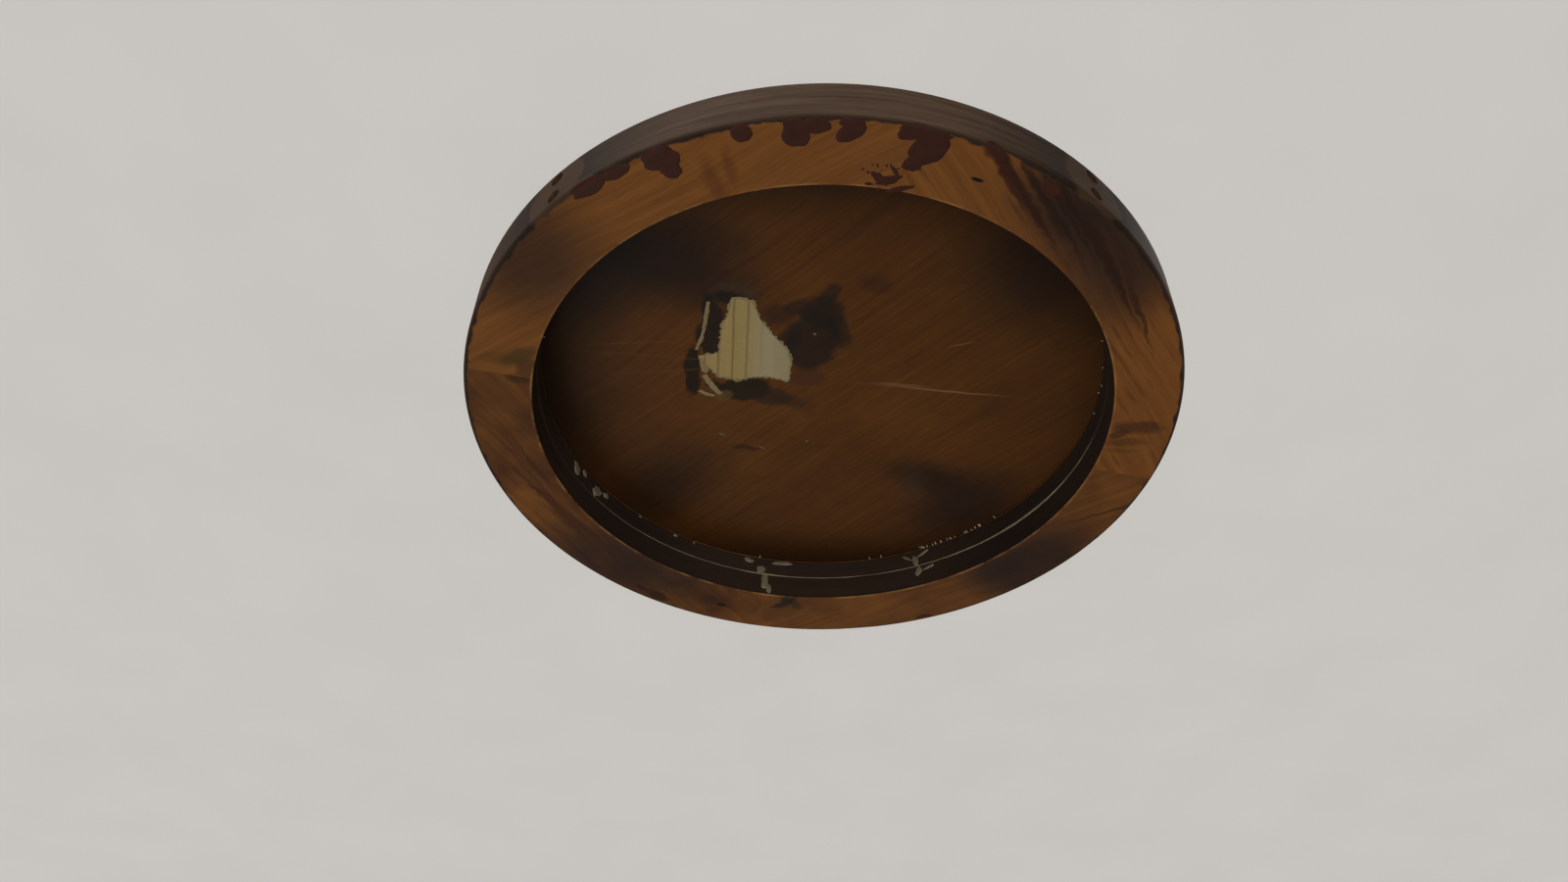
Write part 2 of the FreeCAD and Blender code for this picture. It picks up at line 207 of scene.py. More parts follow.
# Marks on the raw face: x, y, half length, half width in mm, turn in degrees, softness, strength, colour.
ringMarks = [
    (137, -130, 46, 26, 45, 0.7, 0.82, pine["overspray"]),
    (118, -150, 28, 16, 38, 0.7, 0.75, pine["overspray"]),
    (150, -98, 20, 30, 45, 0.8, 0.5, pine["overspray"]),
    (-146, -118, 34, 30, -48, 0.7, 0.72, pine["overspray"]),
    (-132, 124, 44, 26, 44, 0.6, 0.75, pine["overspray"]),
    (-100, 136, 26, 12, 38, 0.7, 0.5, pine["overspray"]),
    (134, 128, 44, 34, -44, 0.6, 0.85, pine["overspray"]),
    (112, 132, 20, 12, -40, 0.8, 0.6, pine["overspray"]),
    (178, 2, 13, 5, 2, 0.35, 0.75, pine["smudge"]),
    (168, 7, 6, 3, -20, 0.35, 0.7, pine["smudge"]),
    (172, 14, 13, 3, 0, 0.5, 0.5, pine["smudge"]),
    (172, 21, 9, 2, 3, 0.5, 0.35, pine["smudge"]),
    (-163, -53, 12, 5, -25, 0.5, 0.7, "#3a2c10"),
    (-160, -44, 6, 8, 20, 0.4, 0.6, "#30230e"),
    (-166, -36, 7, 3, 10, 0.4, 0.6, "#2f200d"),
    (-176, -52, 9, 4, 0, 0.6, 0.4, "#40300f"),
    (-20, 163, 9, 3, -35, 0.35, 0.8, "#1c1815"),
    (-24, 169, 8, 2.6, -30, 0.35, 0.8, "#1c1815"),
    (-16, 170, 3, 6, -30, 0.4, 0.6, "#1c1815"),
    (-65, 170, 3.4, 1.7, 20, 0.3, 0.95, "#180c06"),
    (-150, 84, 30, 2.0, 58, 0.6, 0.7, "#3a1e0d"),
    (-160, 74, 34, 1.6, 62, 0.6, 0.7, "#3a1e0d"),
    (-170, 30, 30, 1.4, 68, 0.6, 0.6, "#3a1e0d"),
    (-107, 160, 8, 4, 45, 0.35, 0.8, "#29150b"),
    (-116, 152, 5, 2, 50, 0.3, 0.7, "#29150b"),
    (70, 182, 6, 1.6, -20, 0.35, 0.8, "#2b160b"),
    (72, -165, 3.2, 1.0, 20, 0.2, 1.0, "#100905"),
    (80, -176, 13, 2.2, 52, 0.5, 0.8, "#3a180d"),
    (86, -166, 22, 1.6, 60, 0.5, 0.85, "#33180c"),
    (92, -160, 26, 1.3, 60, 0.5, 0.8, "#33180c"),
    (97, -154, 30, 1.7, 59, 0.5, 0.9, "#2c170b"),
    (103, -155, 28, 1.2, 59, 0.5, 0.85, "#2c170b"),
    (109, -149, 32, 1.7, 58, 0.5, 0.9, "#28150a"),
    (116, -147, 30, 1.4, 58, 0.5, 0.85, "#28150a"),
    (123, -143, 30, 1.8, 57, 0.5, 0.85, "#22120a"),
    (131, -130, 36, 1.5, 60, 0.5, 0.8, "#2a160b"),
    (139, -120, 36, 1.6, 62, 0.5, 0.8, "#2a160b"),
    (147, -108, 34, 1.4, 64, 0.5, 0.75, "#2a160b"),
    (156, -98, 30, 1.4, 66, 0.5, 0.7, "#331b0d"),
    (163, -84, 28, 1.2, 68, 0.5, 0.6, "#331b0d"),
    (168, 77, 20, 0.8, -25, 0.5, 0.85, "#38200e"),
    (180, 72, 13, 0.7, -22, 0.5, 0.7, "#38200e"),
    (-168, 60, 30, 1.3, 62, 0.6, 0.6, "#41230f"),
    (-172, 40, 34, 1.1, 66, 0.6, 0.6, "#41230f"),
    (-152, 92, 26, 1.3, 56, 0.6, 0.6, "#41230f"),
    (-160, 70, 34, 1.0, 64, 0.6, 0.6, "#41230f"),
    (-178, 18, 20, 1.0, 70, 0.6, 0.5, "#41230f"),
    (-52, -165, 13, 4, 70, 0.7, 0.5, "#4d2610"),
    (-44, -172, 10, 2.4, 80, 0.7, 0.5, "#4d2610"),
]


legFeet = []
for angle in map(math.radians, pine["footAngles"]):
    legFeet.append((math.cos(angle) * outerRadius, math.sin(angle) * outerRadius, ringTop / 2))


def pineMaterial(name, turn, rawLevel, rawEdge, bore, rings, marks, tone):
    material, tree, place = startMaterial(name)
    growth, fibres = woodGrain(tree, place, turn, rings["spacing"], pine["fibreWidth"])
    raw = addNode(tree, "Mix", {0: fibres, 6: pine["raw"], 7: pine["rawLight"]})
    stripes = addNode(tree, "MapRange", {0: growth, 1: 0.45, 2: 1, 3: 0, 4: rings["strength"]})
    raw = addNode(tree, "Mix", {0: stripes, 6: raw, 7: pine["latewood"]})
    cloud = addNode(tree, "TexNoise", {"Vector": place, "Scale": 1 / 45, "Detail": 3})
    dull = addNode(tree, "MapRange", {0: cloud.outputs["Fac"], 1: 0.3, 2: 0.7, 3: 0, 4: rings["dull"]})
    raw = addNode(tree, "Mix", {0: dull, 6: raw, 7: tone})
    ragged = wander(tree, place, 9, 3)
    for mark in marks:
        mask = blot(tree, ragged if mark[5] > 0.3 else place, mark)
        raw = addNode(tree, "Mix", {0: mask, 6: raw, 7: mark[7]})
    # dark stain: worn paler along its fibres, nearly black inside the bore
    scuffs = addNode(tree, "TexNoise", {"Vector": place, "Scale": 1 / 28, "Detail": 5, "Roughness": 0.7})
    drawnOut = addNode(tree, "Mapping", {"Vector": place, "Scale": (1 / 70, 1 / 70, 1 / 3)})
    grained = addNode(tree, "TexNoise", {"Vector": drawnOut, "Scale": 1, "Detail": 5, "Roughness": 0.7})
    worn = addNode(tree, "MapRange", {0: grained.outputs["Fac"], 1: 0.35, 2: 0.68, 3: 0.1, 4: 0.9})
    stain = addNode(tree, "Mix", {0: worn, 6: pine["stain"], 7: pine["stainWorn"]})
    radius = fromAxis(tree, place)
    inBore = addNode(tree, "MapRange", {0: radius, 1: bore + 3, 2: bore + 1, 3: 0, 4: 0.85})
    stain = addNode(tree, "Mix", {0: inBore, 6: stain, 7: pine["boreStain"]})
    level = addNode(tree, "SeparateXYZ", {0: place}).outputs["Z"]
    away = addNode(tree, "Math", {0: level, 1: rawLevel}, operation="SUBTRACT")
    depth = addNode(tree, "Math", {0: away}, operation="ABSOLUTE")
    rolled = addNode(tree, "MapRange", {0: depth, 1: 2.2, 2: 0.4, 3: 0, 4: 0.85})
    stain = addNode(tree, "Mix", {0: rolled, 6: stain, 7: pine["edgeLine"]})
    # where the legs stood: scraped nearly bare, in a halo that is partly thick old finish and partly painted
    # shadow of the legs, which are not built
    for x, y, z in legFeet:
        gap = addNode(tree, "VectorMath", {0: ragged, 1: (x, y, z)}, operation="DISTANCE")
        haloAndLegShadow = addNode(tree, "MapRange", {0: gap, 1: pine["haloAndShadowRadius"], 2: pine["footRadius"], 3: 0, 4: 0.8})
        stain = addNode(tree, "Mix", {0: haloAndLegShadow, 6: stain, 7: pine["edgeLine"]})
        footprint = addNode(tree, "MapRange", {0: gap, 1: pine["footRadius"], 2: pine["footRadius"] - 2.5})
        rubbed = addNode(tree, "Math", {0: footprint, 1: scuffs.outputs["Fac"]}, operation="MULTIPLY")
        stain = addNode(tree, "Mix", {0: rubbed, 6: stain, 7: pine["bare"]})
    # where the face is raw: close to its level, and short of the stained edge
    onFace = addNode(tree, "MapRange", {0: depth, 1: 0.5, 2: 0.2})
    raggedRadius = fromAxis(tree, ragged)
    short = addNode(tree, "MapRange", {0: raggedRadius, 1: rawEdge + 0.8, 2: rawEdge - 0.4})
    bare = addNode(tree, "Math", {0: onFace, 1: short}, operation="MULTIPLY")
    rubbedArris = addNode(tree, "MapRange", {0: radius, 1: bore + 1.6, 2: bore + 0.7})
    broken = addNode(tree, "MapRange", {0: scuffs.outputs["Fac"], 1: 0.45, 2: 0.65, 3: 0, 4: 0.6})
    wornAway = addNode(tree, "Math", {0: rubbedArris, 1: broken}, operation="MULTIPLY")
    raw = addNode(tree, "Mix", {0: wornAway, 6: raw, 7: pine["wornArris"]})
    colour = addNode(tree, "Mix", {0: bare, 6: stain, 7: raw})
    rough = addNode(tree, "MapRange", {0: bare, 3: 0.8, 4: 0.78})
    relief = addNode(tree, "Math", {0: growth, 1: 0.4, 2: fibres}, operation="MULTIPLY_ADD")
    bump = addNode(tree, "Bump", {"Height": relief, "Strength": 0.6, "Distance": 0.25 * mm})
    return closeMaterial(material, tree, colour=colour, rough=rough, normal=bump, gloss=0.16)


def nearMarks(centreAngle):  # only the marks that can show on that segment
    def off(mark):
        return abs((math.degrees(math.atan2(mark[1], mark[0])) - centreAngle + 180) % 360 - 180)

    return [mark for mark in ringMarks if off(mark) < 66]


# Middle angle, strength and spacing of the growth rings, amount and tone of the dull patches. On the two
# segments at +y (middles 58 and 148) the tones are dark and strong: painted shadow of the legs, which are not
# built.
lowerPine = [
    (58, 0.2, 9, 0.9, "#4a2a12"),
    (148, 0.3, 8, 1, "#381e0d"),
    (238, 0.25, 5, 0.4, "#764920"),
    (328, 0.75, 5.4, 0.4, "#6f421b"),
]
for number, (middle, strength, spacing, dull, tone) in enumerate(lowerPine, start=1):
    rings = {"strength": strength, "spacing": spacing, "dull": dull}
    rawEdge, marks = outerRadius - pine["edgeBand"], nearMarks(middle)
    name = f"StainedPineLower{number}"
    material = pineMaterial(name, middle + 90, 0, rawEdge, lowerBore, rings, marks, tone)
    dress(f"lower_segment_{number}", material)
upperPine = {"middles": (22, 112, 202, 292), "strength": 0.4, "dull": 0.45, "tone": "#5d3617", "edgeBand": 6}
for number, middle in enumerate(upperPine["middles"], start=1):
    rings = {"strength": upperPine["strength"], "spacing": 6 + number, "dull": upperPine["dull"]}
    rawEdge = boardRadius - upperPine["edgeBand"]
    name = f"StainedPineUpper{number}"
    material = pineMaterial(name, middle + 90, ringTop, rawEdge, upperBore, rings, [], upperPine["tone"])
    dress(f"upper_segment_{number}", material)
print("ring stained")


# Beech-faced plywood, brushed with a red-brown stain: a low, even sheen over slanting grain.
board = {
    "face": "#4a280c",
    "faceLight": "#5d3810",
    "faceDark": "#321b06",
    "edge": "#a9835a",
    "edgeDark": "#6d4c30",
    "plies": 5,
    "grainTurn": -42,
    "streakSpacing": 13,
    "fibreWidth": 2.4,
}
boardMarks = [
    (-86, -94, 50, 24, 25, 0.7, 0.85, "#1a120e"),
    (-124, -78, 30, 24, -60, 0.8, 0.7, "#15100d"),
    (-60, -112, 26, 12, 25, 0.8, 0.5, "#1a120e"),
    (112, -86, 40, 28, 58, 0.8, 0.7, "#1a110d"),
    (-102, 88, 42, 24, -48, 0.8, 0.7, "#190f08"),
    (66, 76, 26, 12, 20, 0.8, 0.7, "#160d06"),
    (92, 104, 34, 28, -40, 0.7, 0.75, "#181110"),
    (58, 84, 8, 14, 0, 0.7, 0.3, "#3a2d25"),
    (30, -78, 9, 6, 10, 0.45, 0.5, "#30180a"),
    # the next three wide dark bands along the board's edges are painted shade of the recess inside the ring
    (-164, 0, 34, 110, 0, 0.8, 0.75, "#130d09"),
    (0, 165, 140, 26, 0, 0.8, 0.6, "#1c1008"),
    (0, -160, 120, 24, 0, 0.9, 0.5, "#241509"),
    (-5, -38, 15, 25, 12, 0.2, 0.85, "#1e1610"),
    (0, -58, 12, 12, 0, 0.25, 0.8, "#1e1610"),
    (4, -70, 5, 9, 25, 0.25, 0.7, "#1e1610"),
    (-14, -62, 7, 5, -30, 0.3, 0.7, "#1e1610"),
    (9, -44, 6, 12, -15, 0.25, 0.7, "#1e1610"),
    (-20, -34, 6, 16, 20, 0.3, 0.7, "#1e1610"),
    (-24, -56, 8, 8, 0, 0.4, 0.6, "#1e1610"),
    (-8, -8, 11, 6, 0, 0.3, 0.55, "#3b2218"),
    (-60, -56, 5, 16, -10, 0.2, 0.9, "#1b140e"),
    (-63, -36, 6, 16, -14, 0.2, 0.9, "#1b140e"),
    (-74, -14, 5, 20, 4, 0.2, 0.9, "#17110a"),
    (-47, -73, 13, 6, 10, 0.35, 0.5, "#362d22"),
    (-50, -69, 9, 4, 10, 0.3, 0.9, "#1b140e"),
    (-44, 0, 15, 9, -8, 0.2, 0.9, "#1a160a"),
    (-30, 6, 14, 7, 12, 0.25, 0.7, "#241b10"),
    (-18, 10, 12, 5, 25, 0.4, 0.5, "#2a1c12"),
    (-62, -3, 6, 4, 30, 0.3, 0.8, "#1a140a"),
    (-57, 5, 5, 4, 0, 0.3, 0.6, "#5a4322"),
    (-88, -14, 30, 0.9, -4, 0.6, 0.3, "#5a3d27"),
    (-96, -26, 34, 0.8, 6, 0.6, 0.28, "#5a3d27"),
    (-104, -36, 26, 0.8, -2, 0.6, 0.25, "#5a3d27"),
    (66, 1, 37, 0.9, 7, 0.6, 0.34, "#7d5a3f"),
    (74, 2, 27, 0.5, 7, 0.5, 0.28, "#8a6648"),
    (46, -3, 14, 0.8, 5, 0.6, 0.28, "#8a6648"),
    (78, -34, 7, 0.6, -12, 0.5, 0.35, "#7a573b"),
    (-45, 50, 9, 2.2, 8, 0.4, 0.6, "#241408"),
    (-60, 38, 2.0, 0.9, 20, 0.4, 0.6, "#6d5943"),
    (-36, 50, 2.0, 0.7, 40, 0.4, 0.6, "#6d5943"),
    (-8, 44, 1.0, 0.8, 0, 0.4, 0.6, "#6d5943"),
    (-4, -42, 0.9, 1.0, 0, 0.3, 0.7, "#6f6454"),
]


def plywoodMaterial():
    material, tree, place = startMaterial("StainedBeechPlywood")
    streaks, fibres = woodGrain(
        tree, place, board["grainTurn"], board["streakSpacing"], board["fibreWidth"]
    )
    face = addNode(tree, "Mix", {0: fibres, 6: board["face"], 7: board["faceLight"]})
    dark = addNode(tree, "MapRange", {0: streaks, 1: 0.3, 2: 1, 3: 0, 4: 0.14})
    face = addNode(tree, "Mix", {0: dark, 6: face, 7: board["faceDark"]})
    cloud = addNode(tree, "TexNoise", {"Vector": place, "Scale": 1 / 60, "Detail": 4, "Roughness": 0.65})
    dull = addNode(tree, "MapRange", {0: cloud.outputs["Fac"], 1: 0.42, 2: 0.7, 3: 0, 4: 0.35})
    face = addNode(tree, "Mix", {0: dull, 6: face, 7: board["faceDark"]})
    radius = fromAxis(tree, place)
    # painted shade: the board darkens from 70 mm out to the bore, as the recess inside the ring shades it
    recessShade = addNode(tree, "MapRange", {0: radius, 1: 70, 2: lowerBore, 3: 0, 4: 0.5})
    face = addNode(tree, "Mix", {0: recessShade, 6: face, 7: board["faceDark"]})
    ragged, drifting = wander(tree, place, 7, 3), wander(tree, place, 30, 1.5)
    for mark in boardMarks:
        mask = blot(tree, ragged if mark[3] > 1.5 else drifting, mark)
        face = addNode(tree, "Mix", {0: mask, 6: face, 7: mark[7]})
    level = addNode(tree, "SeparateXYZ", {0: place}).outputs["Z"]
    ply = addNode(
        tree,
        "MapRange",
        {0: level, 1: boardBottom, 2: boardTop, 3: 0, 4: board["plies"] * math.pi},
    )
    wave = addNode(tree, "Math", {0: ply}, operation="SINE")
    dim = addNode(tree, "MapRange", {0: wave, 1: -0.3, 2: 0.3})
    edge = addNode(tree, "Mix", {0: dim, 6: board["edgeDark"], 7: board["edge"]})
    below = addNode(tree, "MapRange", {0: level, 1: boardBottom + 0.4, 2: boardBottom + 0.1})
    colour = addNode(tree, "Mix", {0: below, 6: edge, 7: face})
    rough = addNode(tree, "MapRange", {0: cloud.outputs["Fac"], 3: 0.5, 4: 0.7})
    bump = addNode(tree, "Bump", {"Height": fibres, "Strength": 0.5, "Distance": 0.15 * mm})
    return closeMaterial(material, tree, colour=colour, rough=rough, normal=bump, gloss=0.12)


dress("seat_board", plywoodMaterial())
print("board stained")


def metalMaterial(name, colour, spot, rough):  # drawn or stamped steel: dull shine with a little tarnish
    material, tree, place = startMaterial(name)
    tarnish = addNode(tree, "TexNoise", {"Vector": place, "Scale": 1 / 0.9, "Detail": 4})
    amount = addNode(tree, "MapRange", {0: tarnish.outputs["Fac"], 1: 0.5, 2: 0.75, 3: 0, 4: 0.8})
    mixed = addNode(tree, "Mix", {0: amount, 6: colour, 7: spot})
    dulled = addNode(tree, "MapRange", {0: amount, 3: rough, 4: 0.7})
    bump = addNode(tree, "Bump", {"Height": tarnish.outputs["Fac"], "Strength": 0.3, "Distance": 0.05 * mm})
    return closeMaterial(material, tree, colour=mixed, rough=dulled, normal=bump, metal=1)


def pegMaterial():  # turned beech dowel: pale pink-brown with short dark ray flecks
    material, tree, place = startMaterial("TurnedBeech")
    flecks = addNode(tree, "Mapping", {"Vector": place, "Scale": (1 / 0.5, 1 / 0.5, 1 / 3)})
    ray = addNode(tree, "TexNoise", {"Vector": flecks, "Scale": 1, "Detail": 2})
    amount = addNode(tree, "MapRange", {0: ray.outputs["Fac"], 1: 0.5, 2: 0.7})
    mixed = addNode(tree, "Mix", {0: amount, 6: "#b98d62", 7: "#7d5533"})
    bump = addNode(tree, "Bump", {"Height": ray.outputs["Fac"], "Strength": 0.4, "Distance": 0.1 * mm})
    return closeMaterial(material, tree, colour=mixed, rough=0.6, normal=bump, ior=1.5)


bluedSteel = metalMaterial("BluedSteelTack", "#3c4048", "#5d3a26", 0.36)
drawnSteel = metalMaterial("DrawnSteelPin", "#8c8d8c", "#6b5340", 0.3)
for node, material in {
    "course_pins": drawnSteel,
    "locating_pegs": pegMaterial(),
    "lining_tacks": bluedSteel,
    "cover_tacks": bluedSteel,
}.items():
    dress(node, material)


def addPiece(name, points, faces, material, body):
    mesh = bpy.data.meshes.new(name)
    mesh.from_pydata([tuple(c * mm for c in point) for point in points], [], faces)
    mesh.update()
    mesh.shade_smooth()
    mesh.materials.append(material)
    piece = bpy.data.objects.new(name, mesh)
    scene.collection.objects.link(piece)
    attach(piece, body)
    return piece


def onUnderside(x, y, lift):  # a point on the ring's bottom face, or on its rounded outer edge
    edgeRound = 3.1
    reach = max(math.hypot(x, y), 1e-6)
    over = max(0, reach - (outerRadius - edgeRound)) / edgeRound
    turn = min(over, math.pi / 2)
    out = min(reach, outerRadius - edgeRound) + (edgeRound + lift) * math.sin(turn)
    drop = edgeRound - (edgeRound + lift) * math.cos(turn) if over else -lift
    return x / reach * out, y / reach * out, drop


def onBore(bore):  # a point on an inner wall from its angle in degrees and level; u is mm along the wall
    def place(angle, u, level, lift):
        turn = math.radians(angle) + u / bore
        return math.cos(turn) * (bore - lift), math.sin(turn) * (bore - lift), level

    return place


def dropOutline(length, width, turn, ragged, seed, steps):
    # a lobed closed outline round the origin
    chance = random.Random(seed)
    lobes = []
    for k in range(2, 9):
        lobes.append((k, ragged * chance.uniform(0.4, 1) / k**0.6, chance.uniform(0, math.tau)))
    outline = []
    for step in range(steps):
        angle = math.tau * step / steps
        grow = 1 + sum(size * math.sin(k * angle + phase) for k, size, phase in lobes)
        u, v = length / 2 * grow * math.cos(angle), width / 2 * grow * math.sin(angle)
        cosine, sine = math.cos(math.radians(turn)), math.sin(math.radians(turn))
        outline.append((u * cosine - v * sine, u * sine + v * cosine))
    return outline


def addDrops(name, drops, material, body):
    # low mounds with a flat back just under the surface; a drop is (outline, height, place)
    points, faces = [], []
    for outline, height, place in drops:
        steps, first = len(outline), len(points)
        for share, lift in ((1, -0.06), (1, 0.02), (0.93, 0.62), (0.78, 0.93), (0.45, 1)):
            points += [place(u * share, v * share, lift * height if lift > 0 else lift) for u, v in outline]
        points += [place(0, 0, -0.06), place(0, 0, height)]
        for ring in range(4):
            low, high = first + ring * steps, first + (ring + 1) * steps
            faces += [
                (low + k, low + (k + 1) % steps, high + (k + 1) % steps, high + k) for k in range(steps)
            ]
        top = first + 4 * steps
        faces += [(first + (k + 1) % steps, first + k, first + 5 * steps) for k in range(steps)]
        faces += [(top + k, top + (k + 1) % steps, first + 5 * steps + 1) for k in range(steps)]
    return addPiece(name, points, faces, material, body)


def driedMaterial(name, tones, grain, clouding, relief, **finish):  # two tones in clouds `grain` mm wide
    material, tree, place = startMaterial(name)
    cloud = addNode(tree, "TexNoise", {"Vector": place, "Scale": 1 / grain, **clouding}).outputs["Fac"]
    mixed = addNode(tree, "Mix", {0: cloud, 6: tones[0], 7: tones[1]})
    bump = addNode(tree, "Bump", {"Height": cloud, "Strength": relief[0], "Distance": relief[1] * mm})
    return closeMaterial(material, tree, colour=mixed, normal=bump, **finish)


# Spirit varnish that ran over the edge and dried in low drops: a dark red-brown, dulled by age.
runVarnish = driedMaterial(
    "SpiritVarnishRun", ("#2a130c", "#432214"), 6, {"Detail": 3}, (0.3, 0.2), rough=0.6, gloss=0.15
)
# Hide glue, squeezed out and dried: yellow-brown to grey-white, a little translucent.
glue = driedMaterial(
    "DriedHideGlue", ("#44331c", "#8f846b"), 7, {"Detail": 5, "Roughness": 0.7}, (0.6, 0.3),
    rough=0.45, through=0.1, depth=1 * mm,
)

runs = [  # x, y, length, width, turn, raggedness, height
    (-112, -162, 22, 9, -32, 0.14, 0.25),
    (-98, -170, 16, 7, -28, 0.12, 0.25),
    (-76, -177, 19, 12, -18, 0.08, 0.35),
    (-72, -172, 12, 10, 70, 0.08, 0.35),
    (-38, -191, 10, 10, 0, 0.06, 0.3),
    (-13, -190, 14, 13, 10, 0.08, 0.35),
    (-4, -194, 15, 7, -5, 0.08, 0.3),
    (12, -191, 15, 9, -28, 0.06, 0.35),
    (40, -191, 14, 8, -20, 0.08, 0.3),
    (48, -182, 21, 16, -38, 0.07, 0.4),
    (41, -174, 9, 9, 30, 0.12, 0.3),
    (30, -165, 13, 5, -8, 0.18, 0.2),
    (36, -160, 14, 3, -12, 0.18, 0.2),
    (25, -167, 8, 4, 45, 0.2, 0.2),
    (33, -170, 9, 2, 60, 0.2, 0.15),
    (21, -163, 4, 2, 0, 0.2, 0.15),
    (80, -180, 15, 6, 50, 0.14, 0.25),
    (107, -160, 12, 8, 40, 0.14, 0.25),
]
for x, y, length, width, turn, ragged, height in runs[:11]:  # each ran down from the edge
    reach = math.hypot(x, y)
    x, y = x / reach * (outerRadius - 3.5), y / reach * (outerRadius - 3.5)
    runs.append((x, y, length * 0.85, 5, math.degrees(math.atan2(y, x)) + 90, 0.12, height * 0.7))
chance = random.Random(11)
for _ in range(16):  # fine splatter
    x, y = chance.uniform(18, 46), chance.uniform(-174, -160)
    length, width, turn = chance.uniform(0.8, 2), chance.uniform(0.7, 1.6), chance.uniform(0, 180)
    runs.append((x, y, length, width, turn, 0.1, 0.12))
runDrops = []
for number, (x, y, length, width, turn, ragged, height) in enumerate(runs):
    outline = dropOutline(length, width, turn, ragged, number, 36 if length > 4 else 12)
    runDrops.append((outline, height * 0.5, lambda u, v, lift, x=x, y=y: onUnderside(x + u, y + v, lift)))
addDrops("varnish_runs", runDrops, runVarnish, "ring")


glueBead = {
    "from": 8, "to": 158, "step": 0.5, "thick": 0.95, "thin": 0.22, "sides": 8,
    "heavy": ((42, 22, 1), (103, 6, 0.8)),  # where it is thick: angle, half width in degrees, share
}


def addGlueBead():  # the bead that squeezed out of the joint between the courses
    count = int((glueBead["to"] - glueBead["from"]) / glueBead["step"]) + 1
    points, faces = [], []
    for index in range(count):
        angle = glueBead["from"] + index * glueBead["step"]
        share = noise.noise(Vector((angle / 5, 0.3, 0))) * 0.5 + 0.5
        heavy = sum(max(0, 1 - abs(angle - at) / half) * part for at, half, part in glueBead["heavy"])
        ends = min(1, (angle - glueBead["from"]) / 8, (glueBead["to"] - angle) / 20)
        full = min(1, heavy * 0.8 + 0.25 * share)
        size = glueBead["thin"] + (glueBead["thick"] - glueBead["thin"]) * full
        size *= max(0.05, ends) * (0.6 + 0.7 * share)
        wobble = 0.25 * noise.noise(Vector((angle / 1.7, 4.2, 0)))
        turn = math.radians(angle)
        for side in range(glueBead["sides"]):
            around = math.tau * side / glueBead["sides"]
            reach = upperBore + 0.15 + size * 0.8 * math.cos(around)
            level = courseLine - 0.1 + wobble + size * 1.1 * math.sin(around)
            points.append((reach * math.cos(turn), reach * math.sin(turn), level))
    sides = glueBead["sides"]
    for index in range(count - 1):
        low, high = index * sides, (index + 1) * sides
        faces += [(low + k, high + k, high + (k + 1) % sides, low + (k + 1) % sides) for k in range(sides)]
    faces += [tuple(range(sides)), tuple(range((count - 1) * sides, count * sides))[::-1]]
    return addPiece("glue_bead", points, faces, glue, "ring")


addGlueBead()
glueRuns = [  # bore, angle, level, length round the wall, height on the wall, turn, raggedness, thickness
    (lowerBore, 103, 11, 5, 13, 0, 0.14, 0.7),
    (lowerBore, 102, 5, 3.5, 8, 5, 0.14, 0.5),
    (upperBore, 104, 19, 6, 6, 0, 0.14, 0.6),
    (upperBore, 99, 26, 15, 3, 4, 0.18, 0.5),
    (upperBore, 107, 25, 7, 3.5, -8, 0.18, 0.5),
    (upperBore, 67, 20, 4, 9, 8, 0.2, 0.6),
    (upperBore, 65, 24.5, 9, 2.2, 30, 0.2, 0.5),
    (upperBore, 69, 23.5, 8, 1.8, -35, 0.2, 0.4),
    (lowerBore, 66.5, 12, 4, 8, -12, 0.2, 0.5),
    (lowerBore, 64, 13, 8, 2, 15, 0.2, 0.4),
    (upperBore, 158, 22, 6, 10, 20, 0.2, 0.7),
    (upperBore, 155, 25, 5, 4, -30, 0.2, 0.6),
    (upperBore, 150, 21, 9, 7, 25, 0.2, 0.7),
    (upperBore, 147, 24, 5, 4, 0, 0.2, 0.6),
    (upperBore, 126, 26.5, 3, 2.2, 0, 0.1, 0.8),
    (upperBore, 121, 26.8, 1.6, 1.6, 0, 0.1, 0.6),
    (upperBore, 6, 26.5, 1.7, 1.7, 0, 0.1, 0.7),
    (upperBore, -2, 26.5, 1.7, 2.0, 0, 0.1, 0.7),
    (upperBore, 136, 27, 2.2, 1.4, 0, 0.15, 0.5),
]
glueDrops = []
for number, (bore, angle, level, length, tall, turn, ragged, thick) in enumerate(glueRuns):
    outline = dropOutline(length, tall, turn, ragged, 40 + number, 30)
    wall = onBore(bore)
    glueDrops.append(
        (outline, thick, lambda u, v, lift, wall=wall, a=angle, z=level: wall(a, -u, z + v, lift))
    )
addDrops("glue_runs", glueDrops, glue, "ring")
print("runs and glue placed")


# Machine-made label paper, aged cream: matt, ribbed where it cockled over the glue, greyer where it tore.
label = {
    "face": "#9a8755",
    "faceAged": "#866f3c",
    "faceBleached": "#93886b",
    "faceDark": "#644b22",
    "torn": "#6e644c",
    "ribs": 8,
    "ribTurn": 4,
    "teeth": 1.7,
    "grid": 1.6,
}
labelCorners = [
    (-49, -68), (-38, -67), (-34, -53), (-26, -40), (-19, -30), (-17, -20), (-19, -6), (-27, -9), (-34, -10),
    (-41, -9), (-48, -7), (-59, -10), (-66, -19), (-70, -26), (-58, -28), (-55, -49), (-51, -58),
]


